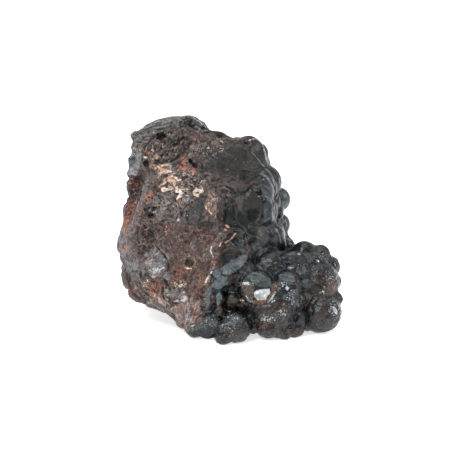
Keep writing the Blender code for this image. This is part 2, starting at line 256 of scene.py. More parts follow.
class Surface:
    # What the relief and the finishes ask about each point of the mesh
    def __init__(self, mesh):
        self.points = pointsOf(mesh)
        self.normals = normalsOf(mesh)
        self.edges = meshValues(mesh.edges, "vertices", np.int32, 2)
        self.px, self.py, self.depth = photoPixels(self.points)
        self.seen = self.seenFromFront()
        self.wave = noiseField(self.points, *sight["wave"])

    def seenFromFront(self):
        # 1 where nothing stands in front of the point in the front view
        column = (self.px // sight["cell"]).astype(int)
        row = (self.py // sight["cell"]).astype(int)
        order, place = np.unique(column * frontView["pixels"] + row, return_inverse=True)
        nearest = np.full(len(order), np.inf)
        np.minimum.at(nearest, place.ravel(), self.depth)
        facing = self.normals @ lookAhead < sight["turned"]
        clear = (self.depth < nearest[place.ravel()] + sight["depth"]) & facing
        smooth = spread(clear.astype(float), self.edges, sight["smoothing"])
        return np.clip(smooth * sight["gain"] - sight["loss"], 0.0, 1.0)

    def nearest(self, x, y):
        # The seen point that shows at a pixel of the photograph
        gap = np.hypot(self.px - x, self.py - y) + (1.0 - self.seen) * sight["behind"]
        return self.points[np.argmin(gap)]

    def ellipse(self, x, y, wide, high, turn):
        # 0 in the middle of an ellipse of the photograph and 1 on its rim
        dx, dy = self.px - x, self.py - y
        along = dx * cos(radians(turn)) + dy * sin(radians(turn))
        over = dy * cos(radians(turn)) - dx * sin(radians(turn))
        return np.hypot(along / wide, over / high)

    def lineGap(self, start, end):
        # Pixels to a straight line of the photograph
        (x0, y0), (x1, y1) = start, end
        length = (x1 - x0) ** 2 + (y1 - y0) ** 2
        share = np.clip(((self.px - x0) * (x1 - x0) + (self.py - y0) * (y1 - y0)) / length, 0, 1)
        return np.hypot(self.px - x0 - share * (x1 - x0), self.py - y0 - share * (y1 - y0))

    def within(self, reach, soft, uneven):
        # 1 where the reach is under 1, with a soft and uneven rim
        reach = reach + self.wave * uneven
        return np.clip((1.0 - reach) / soft + 0.5, 0.0, 1.0) * self.seen

    def blot(self, x, y, wide, high, turn, soft, uneven):
        return self.within(self.ellipse(x, y, wide, high, turn), soft, uneven)

    def stroke(self, corners, wide, soft, uneven):
        gaps = [self.lineGap(*ends) for ends in zip(corners[:-1], corners[1:])]
        return self.within(np.minimum.reduce(gaps) / wide, soft, uneven)

    def region(self, corners, soft, uneven):
        # A many-cornered area of the photograph, its rim softened over some pixels
        sides = list(zip(corners, corners[1:] + corners[:1]))
        inside = np.zeros(len(self.px), bool)
        for (x0, y0), (x1, y1) in sides:
            if y1 != y0:
                crosses = (y0 > self.py) != (y1 > self.py)
                inside ^= crosses & (self.px < (x1 - x0) * (self.py - y0) / (y1 - y0) + x0)
        gap = np.minimum.reduce([self.lineGap(*ends) for ends in sides])
        signed = np.where(inside, gap, -gap) + self.wave * uneven
        return np.clip(signed / soft + 0.5, 0.0, 1.0)


# Where the crust of broken ore lies, in pixels of the photograph; the rest is domes
crustArea = {
    "front": [
        (90, 100), (180, 100), (215, 126), (244, 130), (249, 146), (256, 160), (260, 168), (256, 174),
        (255, 182), (249, 188), (241, 187), (229, 196), (224, 214), (222, 230), (236, 231), (226, 243),
        (219, 262), (209, 280), (206, 292), (205, 312), (190, 326), (170, 340), (90, 340),
    ],
    "frontRim": (3.0, 3.0),       # pixels: how soft and how uneven
    "backAngle": radians(200.0),  # the middle of the crust as seen from above
    "backMiddle": (0.0, 3.0),     # mm; the angle is taken round this point
    "backCore": 4.0,              # mm round it where the angle counts less
    "backSpread": 0.1,
    "backSoft": 0.2,
    "backWave": 0.25,             # how uneven the rim is, finely and in patches
    "backPatches": (13.0, 2, 0.35),
}


def crustShare(surface):
    front = surface.region(crustArea["front"], *crustArea["frontRim"])
    away = surface.points[:, :2] - np.array(crustArea["backMiddle"])
    facing = np.array((cos(crustArea["backAngle"]), sin(crustArea["backAngle"])))
    lean = away @ facing / (np.linalg.norm(away, axis=1) + crustArea["backCore"])
    size, octaves, patchy = crustArea["backPatches"]
    uneven = surface.wave * crustArea["backWave"] + noiseField(surface.points, size, octaves) * patchy
    behind = np.clip((lean - crustArea["backSpread"] + uneven) / crustArea["backSoft"], 0.0, 1.0)
    return front * surface.seen + behind * (1.0 - surface.seen)


# Where the broken face is smooth, in pixels of the photograph: blots and strokes as in oreFinish
calmPlaces = {
    "blots": [
        (156, 261, 12, 15, 0), (192, 212, 11, 13, 20), (212, 205, 7, 13, 0), (222, 204, 4, 9, 0),
        (238, 165, 26, 22, 0), (187, 312, 14, 13, 20), (137, 290, 12, 14, 30), (214, 160, 12, 12, 0),
        (157, 300, 14, 6, 35), (186, 268, 24, 26, 0, 0.5), (168, 240, 10, 12, 0, 0.4),
    ],
    "strokes": [
        ([(146, 182), (142, 197), (138, 212), (132, 229)], 3.6),
        ([(124, 234), (127, 248), (128, 262)], 9.0), ([(138, 151), (134, 160), (132, 172)], 5.5),
        ([(131, 176), (129, 196), (124, 222), (119, 240), (121, 262), (124, 284), (134, 297)], 4.0, 0.8),
        ([(137, 132), (152, 126), (172, 120), (184, 118)], 8.0),
    ],
}

# Flat breaks and facets: pixel of the photograph, mm from middle to rim, mm deep and the way
# that they face
cuts = {
    "ledge": ((158, 127), 7.0, 0.6, (-0.20, -0.62, 0.76)),
    "band": ((168, 146), 7.0, 0.5, (0.02, -0.96, 0.27)),
    "crown": ((193, 122), 3.5, 0.5, (0.25, -0.70, 0.67)),
    "shoulder": ((238, 162), 8.0, 0.5, (0.25, -0.76, 0.60)),
    "disc": ((251, 207), 7.0, 0.8, (0.33, -0.92, 0.20)),
    "leftDisc": ((233, 213), 4.5, 0.5, (0.22, -0.96, 0.15)),
    "capTop": ((256, 277), 3.6, 0.9, (0.05, -0.60, 0.80)),
    "capTopRight": ((266, 281), 2.6, 0.7, (0.30, -0.72, 0.62)),
    "capLeft": ((247, 291), 2.8, 0.8, (-0.45, -0.86, 0.22)),
    "capMirror": ((262, 294), 3.3, 1.0, (0.10, -0.93, 0.36)),
    "subTop": ((286, 277), 3.4, 0.9, (0.05, -0.62, 0.78)),
    "subTopRight": ((293, 281), 2.0, 0.6, (0.35, -0.70, 0.62)),
    "bowlFoot": ((234, 264), 4.5, 0.6, (0.05, -0.72, 0.70)),
    "lobe": ((221, 282), 3.4, 0.3, (0.05, -0.88, 0.45)),
    "toe": ((199, 331), 5.6, 1.3, (-0.12, -0.90, -0.42)),
    "lilac": ((156, 262), 4.6, 0.45, (-0.22, -0.93, 0.30)),
    "lensStrip": ((223, 203), 2.4, 0.5, (0.45, -0.88, 0.10)),
    "blueStrip": ((136, 162), 4.0, 0.5, (-0.70, -0.68, 0.25)),
    "cheek": ((125, 250), 5.0, 0.5, (-0.55, -0.83, 0.10)),
    "rightSlate": ((308, 284), 2.6, 0.6, (-0.10, -0.85, 0.50)),
    "rightSlateLow": ((317, 290), 1.8, 0.5, (0.10, -0.90, 0.40)),
}

# Small facets that catch the front light: pixel, mm from middle to rim, mm deep
glints = [
    ((245, 283), 1.9, 0.35), ((287, 287.5), 0.8, 0.25), ((299, 254), 0.6, 0.2), ((318, 261), 0.55, 0.2),
    ((335, 310), 1.0, 0.35), ((333, 305), 0.6, 0.25), ((323.5, 292), 0.6, 0.2), ((266, 318), 0.7, 0.2),
    ((270, 317.5), 0.5, 0.2), ((232, 315), 0.6, 0.2), ((279, 314), 0.8, 0.2), ((291, 297), 0.6, 0.2),
    ((290, 302), 0.5, 0.2), ((228, 317), 0.5, 0.2), ((236, 320), 0.5, 0.2), ((330, 275), 0.4, 0.15),
    ((250, 301), 0.5, 0.15), ((272, 300), 0.5, 0.15),
]
glintFacing = (0.10, -0.93, 0.36)

# Forms finer than the solid's: (x, y, half width, half height, turn) in pixels, then mm deep and
# how sharp. Rises have a negative depth.
dents = {
    "ledgeRise": ((173, 121, 27, 7, -14), -1.4, 2),
    "ledgeLeftRise": ((149, 127, 23, 9, -20), -2.1, 2),
    "browRight": ((264, 150, 8, 20, -15), -0.9, 2),
    "cavityEdge": ((127, 180, 10, 20, 0), -1.7, 2),
    "rustEdge": ((124, 207, 7, 15, 5), -0.9, 2),
    "stripEdge": ((129, 159, 7, 9, 0), 1.4, 2),
    "cheekEdge": ((118, 259, 7, 8, 0), -1.9, 2),
    "cheekFoot": ((121, 263, 6, 5, 0), -0.8, 2),
    "edgeUpper": ((129, 180, 6, 7, 0), -0.8, 2),
    "edgeMiddle": ((127, 199, 6, 6, 0), -1.2, 2),
    "cavity": ((138, 186, 6.5, 13, 8), 0.8, 2),
    "cavityHole": ((143, 181, 2.0, 3.8, 10), 1.0, 3),
    "cavityHoleLeft": ((131.5, 192, 2.6, 2.2, 0), 0.9, 3),
    "cavityHoleRight": ((141, 191.5, 2.4, 2.0, 0), 0.9, 3),
    "footEdge": ((132, 295, 12, 8, 40), -1.6, 2),
    "footEdgeRight": ((145, 302, 14, 7, 28), -1.5, 2),
    "ledgeRightRise": ((192, 119, 11, 5, 10), -1.0, 2),
    "crownRise": ((204, 126, 8, 5, 38), -0.9, 2),
    "ledgeCorner": ((134, 136, 6, 6, 0), -0.7, 2),
    "underLedge": ((158, 134, 24, 1.8, -12), 0.7, 2),
    "underCrown": ((180, 140, 16, 2.0, -8), 0.5, 2),
    "crownStep": ((192, 124, 10, 1.6, 10), 0.7, 2),
    "crownStepRight": ((205, 133, 7, 1.8, -30), 0.6, 2),
    "topHole": ((161.5, 136, 6.4, 3.0, -8), 1.5, 3),
    "leftPit": ((145.5, 163, 3.0, 4.2, 20), 1.8, 3),
    "middlePit": ((190.5, 161, 2.2, 3.2, -30), 1.5, 3),
    "middlePitSide": ((194.5, 165.5, 1.7, 2.6, -35), 1.2, 3),
    "cornerPit": ((153, 208.5, 1.4, 4.4, 12), 1.3, 3),
    "cornerPitFoot": ((150, 215, 2.6, 1.3, -20), 1.3, 3),
    "roundPit": ((188, 261, 5.4, 4.2, -20), 0.4, 2),
    "roundPitFoot": ((192, 264, 3.2, 2.6, 25), 0.6, 2),
    "slot": ((140.8, 276.5, 1.3, 3.6, 0), 1.2, 2),
    "leftGroove": ((128.5, 280, 1.2, 7.0, -12), 0.6, 2),
    "kneeGroove": ((165.6, 282.5, 1.3, 4.6, -35), 1.2, 2),
    "besideLens": ((224.5, 216, 1.6, 9.0, 8), 0.9, 2),
    "foldUpper": ((222, 179, 6, 1.2, 15), 0.7, 2),
    "foldLower": ((228, 187, 4.5, 1.3, 35), 0.9, 2),
    "underBowl": ((236, 274, 7, 1.6, -25), 0.4, 2),
    "frontGap": ((232, 288, 9.0, 2.6, 0), 0.9, 2),
    "betweenDomes": ((247, 316, 2.0, 14.0, -18), 0.6, 2),
    "capRim": ((259, 303, 14, 2.0, 0), 0.3, 2),
    "lens": ((211, 205, 7.5, 13.0, 4), -0.9, 2),
    "knob": ((176, 294, 9.0, 6.5, 0), -0.7, 2),
    "knobLeft": ((166.5, 293, 3.4, 6.5, -8), -0.7, 2),
    "knobOutline": ((162.4, 293, 1.3, 7.0, -12), 0.8, 2),
    "knobSplit": ((170.8, 293, 1.1, 6.0, -14), 0.7, 2),
    "knobFoot": ((176, 303.5, 9.0, 1.3, 0), 0.5, 2),
    "bandGroove": ((147, 294, 9.0, 1.2, 35), 0.5, 2),
    "nodule": ((154.4, 209.5, 1.8, 1.8, 0), -0.5, 2),
}

# Creases and a ridge along lines of the photograph: corners, half width in pixels, mm deep
creases = {
    "disc": ([(238, 210), (239, 198), (244, 190.5), (251, 188), (258, 190.5), (263, 198), (264, 208),
              (262, 218), (257, 224), (250, 226)], 1.1, 0.40),
    "leftDisc": ([(226, 206), (230, 201.5), (236, 202), (240, 209), (239, 219), (235, 225)], 1.0, 0.35),
    "petalUpper": ([(212, 181), (220, 178.5), (230, 180), (240, 185)], 1.1, 0.45),
    "petalMiddle": ([(216, 187), (225, 185), (233, 190), (238, 197)], 1.1, 0.45),
    "petalLower": ([(221, 194), (229, 198), (236, 203)], 1.0, 0.35),
    "longDome": ([(263, 200), (268, 197), (273, 203), (275, 214), (276, 226)], 0.9, 0.35),
    "innerDome": ([(258, 180), (263, 176), (269, 179), (274, 188), (274, 198)], 0.9, 0.40),
    "facetLine": ([(250, 150), (258, 160), (267, 170)], 0.8, 0.30),
    "bowl": ([(219, 262), (221, 252), (227, 245), (235, 240), (243, 241)], 0.9, 0.25),
    "slab": ([(220, 266), (226, 262), (234, 259), (240, 253), (241, 246)], 0.8, 0.25),
    "underLilac": ([(146, 276), (152, 279), (160, 278), (167, 273)], 1.0, 0.40),
    "lilacRight": ([(165, 256), (168, 266), (167, 273)], 1.0, 0.15),
    "depressEdge": ([(181, 213), (188, 205), (197, 199), (206, 196)], 1.0, 0.45),
    "ledgeEdge": ([(133, 133.5), (150, 129.5), (165, 128.5), (180, 127), (187, 120)], 1.0, 0.50),
    "crownEdge": ([(187, 120), (196, 127), (206, 131), (212, 131)], 0.9, 0.35),
    "ridge": ([(146, 184), (142, 198), (137, 214), (130, 230)], 1.6, -0.45),
    "toeEdge": ([(186, 332), (194, 329), (202, 327), (210, 322)], 0.9, 0.35),
    "slateStrips": ([(214, 288), (214.5, 300), (213, 312)], 1.0, 0.45),
}

# Relief: widths and heights in mm
relief = {
    "smoothing": 3,              # steps
    "hiddenSmoothing": 16,       # steps of the domes that the front hides
    "smoothShare": 0.5,
    "broadSteps": 12,            # steps, for the way that the relief is pushed out
    "push": 0.12,                # makes up for what the smoothing takes
    "crustFacets": [(6.0, 1.2), (3.2, 1.2), (1.6, 0.6)],
    "facetWarp": (1.7, 0.25),    # how fine and how strong the facets' rims are bent
    "facetSoftening": 2,
    "crustRidges": [(5.5, 1.1), (2.6, 0.6)],
    "ridgeShift": 40.0,
    "crustGrain": [(1.1, 0.14), (0.7, 0.08)],
    "calmLoss": 0.8,             # how much of the relief the calm places lose
    "pits": [(2.6, 0.9, 0.3), (1.5, 0.8, 0.4)],  # mm apart, mm deep and how many cells have one
    "pitRadius": 0.36,           # in widths of a cell
    "pitted": (9.0, 1.5, 0.15),  # patches with pits: mm wide, how strong, and least everywhere
    "pitPlaces": [(150, 236, 14, 15, 0), (136, 186, 8, 15, 0), (160, 200, 20, 8, 20)],
    "domeWave": (5.0, 0.24, 0.4),    # mm wide, mm high, and the least share of it
    "grapes": [(3.4, 0.34), (1.6, 0.20)],
    "grapeRadius": 0.75,
    "calmHeight": (22.0, 30.0),  # the domes grow smooth between these heights
    "calmLeast": 0.06,           # relief that stays above them
    "cutFade": 0.25,             # how gently a flat break ends, in widths of it
    "cutFlat": 0.8,              # how much of the grapes' height it loses
    "outlineWidth": 0.6,         # how far in from the outline the crust is quieter
    "outlineShare": 0.20,
    "holeRim": 0.35,             # how uneven the rims of holes and of rises are
    "riseRim": 0.08,
    "riseReach": 90,             # steps by which rises run out gently behind the outline
    "riseGain": 1.5,
    "placeRim": (0.3, 0.35),     # how soft and how uneven the rims of pitted and flat places are
    "creaseRim": (1.2, 0.5),
}


cellDraws = {"facets": 37.0, "pits": 53.0}   # so that neighbouring cells draw unlike numbers


def facets(points, size):
    # Small planes, each tilted its own way
    fineness, bend = relief["facetWarp"]
    heights = []
    for point in points:
        spot = Vector(point) / size
        warped = spot + noise.noise_vector(spot * fineness) * bend
        centre = noise.voronoi(warped)[1][0]
        tilt = noise.cell_vector(centre * cellDraws["facets"]) - Vector((0.5, 0.5, 0.5))
        heights.append(tilt.dot(warped - centre))
    return np.array(heights)


def grapes(points, size):
    # Rounded bumps that meet in sharp creases
    reach = np.array([noise.voronoi(Vector(point) / size)[0][0] for point in points])
    return 0.5 - (reach / relief["grapeRadius"]) ** 2


def pitDepths(points, size, chance):
    # Round holes in some of the cells
    depths = np.zeros(len(points))
    for index, point in enumerate(points):
        gaps, centres = noise.voronoi(Vector(point) / size)
        if noise.cell(centres[0] * cellDraws["pits"]) * 0.5 + 0.5 < chance:
            depths[index] = max(0.0, 1.0 - (gaps[0] / relief["pitRadius"]) ** 2)
    return depths


# Rims of marks that don't say their own, and how marks end where the stone turns away
markRims = {"soft": 0.4, "uneven": 0.35, "areas": (1.0, 0.6), "turnFrom": -0.02, "turnOver": 0.2}


def placesShare(surface, places):
    # The last number of a blot or stroke may say how strong it is
    rim = places.get("soft", markRims["soft"]), places.get("uneven", markRims["uneven"])
    shares = [np.zeros(len(surface.px))]
    for x, y, wide, high, turn, *strength in places.get("blots", []):
        shares.append(surface.blot(x, y, wide, high, turn, *rim) * sum(strength or [1.0]))
    for corners, wide, *strength in places.get("strokes", []):
        shares.append(surface.stroke(corners, wide, *rim) * sum(strength or [1.0]))
    for corners in places.get("areas", []):
        shares.append(surface.region(corners, *markRims["areas"]) * surface.seen)
    turned = (markRims["turnFrom"] - surface.normals @ lookAhead) / markRims["turnOver"]
    return np.maximum.reduce(shares) * np.clip(turned, 0.0, 1.0)


def shaved(surface, points, spot, radius, sink, looks):
    # Takes off what stands in front of a plane, near to the spot only
    facing = np.array(looks) / np.linalg.norm(looks)
    away = points - surface.nearest(*spot)
    over = np.clip(away @ facing + sink, 0.0, None)
    fadeWidth = radius * relief["cutFade"]
    fade = np.clip((radius - np.linalg.norm(away, axis=1)) / fadeWidth + 1.0, 0.0, 1.0)
    return points - facing * (over * fade)[:, None]


def crustHeight(surface, points, broken):
    # Tilted facets, ridges, grain and pits of the broken ore
    height = np.full(len(points), relief["push"])
    for size, high in relief["crustFacets"]:
        softened = spread(facets(points, size), surface.edges, relief["facetSoftening"])
        height += softened * high * broken
    for size, high in relief["crustRidges"]:
        height -= np.abs(noiseField(points + relief["ridgeShift"], size)) * high * broken
    for size, high in relief["crustGrain"]:
        height += noiseField(points, size) * high * broken
    size, strong, least = relief["pitted"]
    pitted = np.clip(least + noiseField(points, size) * strong, 0.0, 1.0)
    for place in relief["pitPlaces"]:
        pitted = np.maximum(pitted, surface.blot(*place, *relief["placeRim"]))
    for size, deep, chance in relief["pits"]:
        height -= pitDepths(points, size, chance) * deep * broken * pitted
    return height


def footShare(points):
    # 1 on the low domes and little on the high ones
    smoothFrom, smoothOver = relief["calmHeight"]
    share = (smoothOver - points[:, 2]) / (smoothOver - smoothFrom)
    return np.clip(share, relief["calmLeast"], 1.0)


def domeHeight(surface, points, domes):
    # Long waves, and grapes on the low domes except where they broke flat
    foot = footShare(points)
    size, high, least = relief["domeWave"]
    height = noiseField(points, size) * high * domes * np.maximum(foot, least)
    rounded = np.ones(len(points))
    for (x, y), radius, sink, looks in cuts.values():
        wide = radius / frontView["mmPerPixel"]
        flat = surface.blot(x, y, wide, wide, 0.0, *relief["placeRim"])
        rounded -= flat * rounded * relief["cutFlat"]
    for size, high in relief["grapes"]:
        height += grapes(points, size) * high * domes * foot * rounded
    return height


def dentDepth(surface):
    # Rises, whose depth is negative, run out gently behind the outline
    depth = np.zeros(len(surface.px))
    reach = spread(surface.seen, surface.edges, relief["riseReach"])
    aroundSeen = np.clip(reach * relief["riseGain"], 0.0, 1.0)
    for place, deep, sharp in dents.values():
        uneven, shown = relief["holeRim"], surface.seen
        if deep < 0.0:
            uneven, shown = relief["riseRim"], aroundSeen
        reach = np.clip(surface.ellipse(*place) + surface.wave * uneven, 0.0, 1.0)
        depth += deep * (1.0 - reach ** sharp) ** 2 * shown
    for corners, wide, deep in creases.values():
        depth += deep * surface.stroke(corners, wide, *relief["creaseRim"])
    return depth


mesh = fusedMesh()
report(f"Fused {len(mesh.vertices)} points")
surface = Surface(mesh)
crust = crustShare(surface)
report("Measured")

points = surface.points
hidden = ((1.0 - crust) * (1.0 - surface.seen))[:, None]
for step in range(relief["hiddenSmoothing"]):
    share = relief["smoothShare"] * (1.0 if step < relief["smoothing"] else hidden)
    points = points + (neighbourMean(points, surface.edges) - points) * share
for cut in cuts.values():
    points = shaved(surface, points, *cut)
putPoints(mesh, points)
broad = spread(normalsOf(mesh), surface.edges, relief["broadSteps"])
broad /= np.linalg.norm(broad, axis=1)[:, None]
report("Smoothed and cut")

# Towards the outline the crust is quieter
outline = np.clip(np.abs(broad @ lookAhead) / relief["outlineWidth"], relief["outlineShare"], 1.0)
broken = crust * (1.0 - relief["calmLoss"] * placesShare(surface, calmPlaces)) * outline
height = crustHeight(surface, points, broken) + domeHeight(surface, points, 1.0 - crust)
height -= dentDepth(surface)
points = points + broad * height[:, None]
surface.points = points
for spot, radius, sink in glints:
    points = shaved(surface, points, spot, radius, sink, glintFacing)
points[:, 2] = np.maximum(points[:, 2], 0.0)
putPoints(mesh, points)
report("Relief")

# The back loses more of its triangles than the front, in a few levels. A closed mesh has twice as
# many triangles as points, less four if nothing tunnels through it.
stone = linked("stone", mesh)
back = stone.vertex_groups.new(name="back")
levels = 4
for level in range(levels + 1):
    chosen = np.flatnonzero(np.round(surface.seen * levels) == level)
    back.add(chosen.tolist(), 1.0 - level / levels, "REPLACE")
thin = stone.modifiers.new("thin", "DECIMATE")
thin.ratio = stoneForm["triangles"] / (2 * len(mesh.vertices) - 4)
thin.vertex_group = "back"
thin.vertex_group_factor = stoneForm["frontKeep"]
fine = evaluatedMesh(stone)
stone.modifiers.clear()
stone.data = fine
fine.shade_smooth()
points = pointsOf(fine)
points[:, 2] = np.maximum(points[:, 2], 0.0)
putPoints(fine, points)
report(f"Thinned to {len(fine.vertices)} points")

# The flat tops of the two big domes of the foot, in pixels of the photograph
slabTops = [
    [(243, 275), (250, 271), (262, 274), (271, 279), (272, 287), (262, 288), (252, 284), (243, 281)],
    [(277, 274), (290, 273), (295, 279), (293, 285), (283, 282)],
]

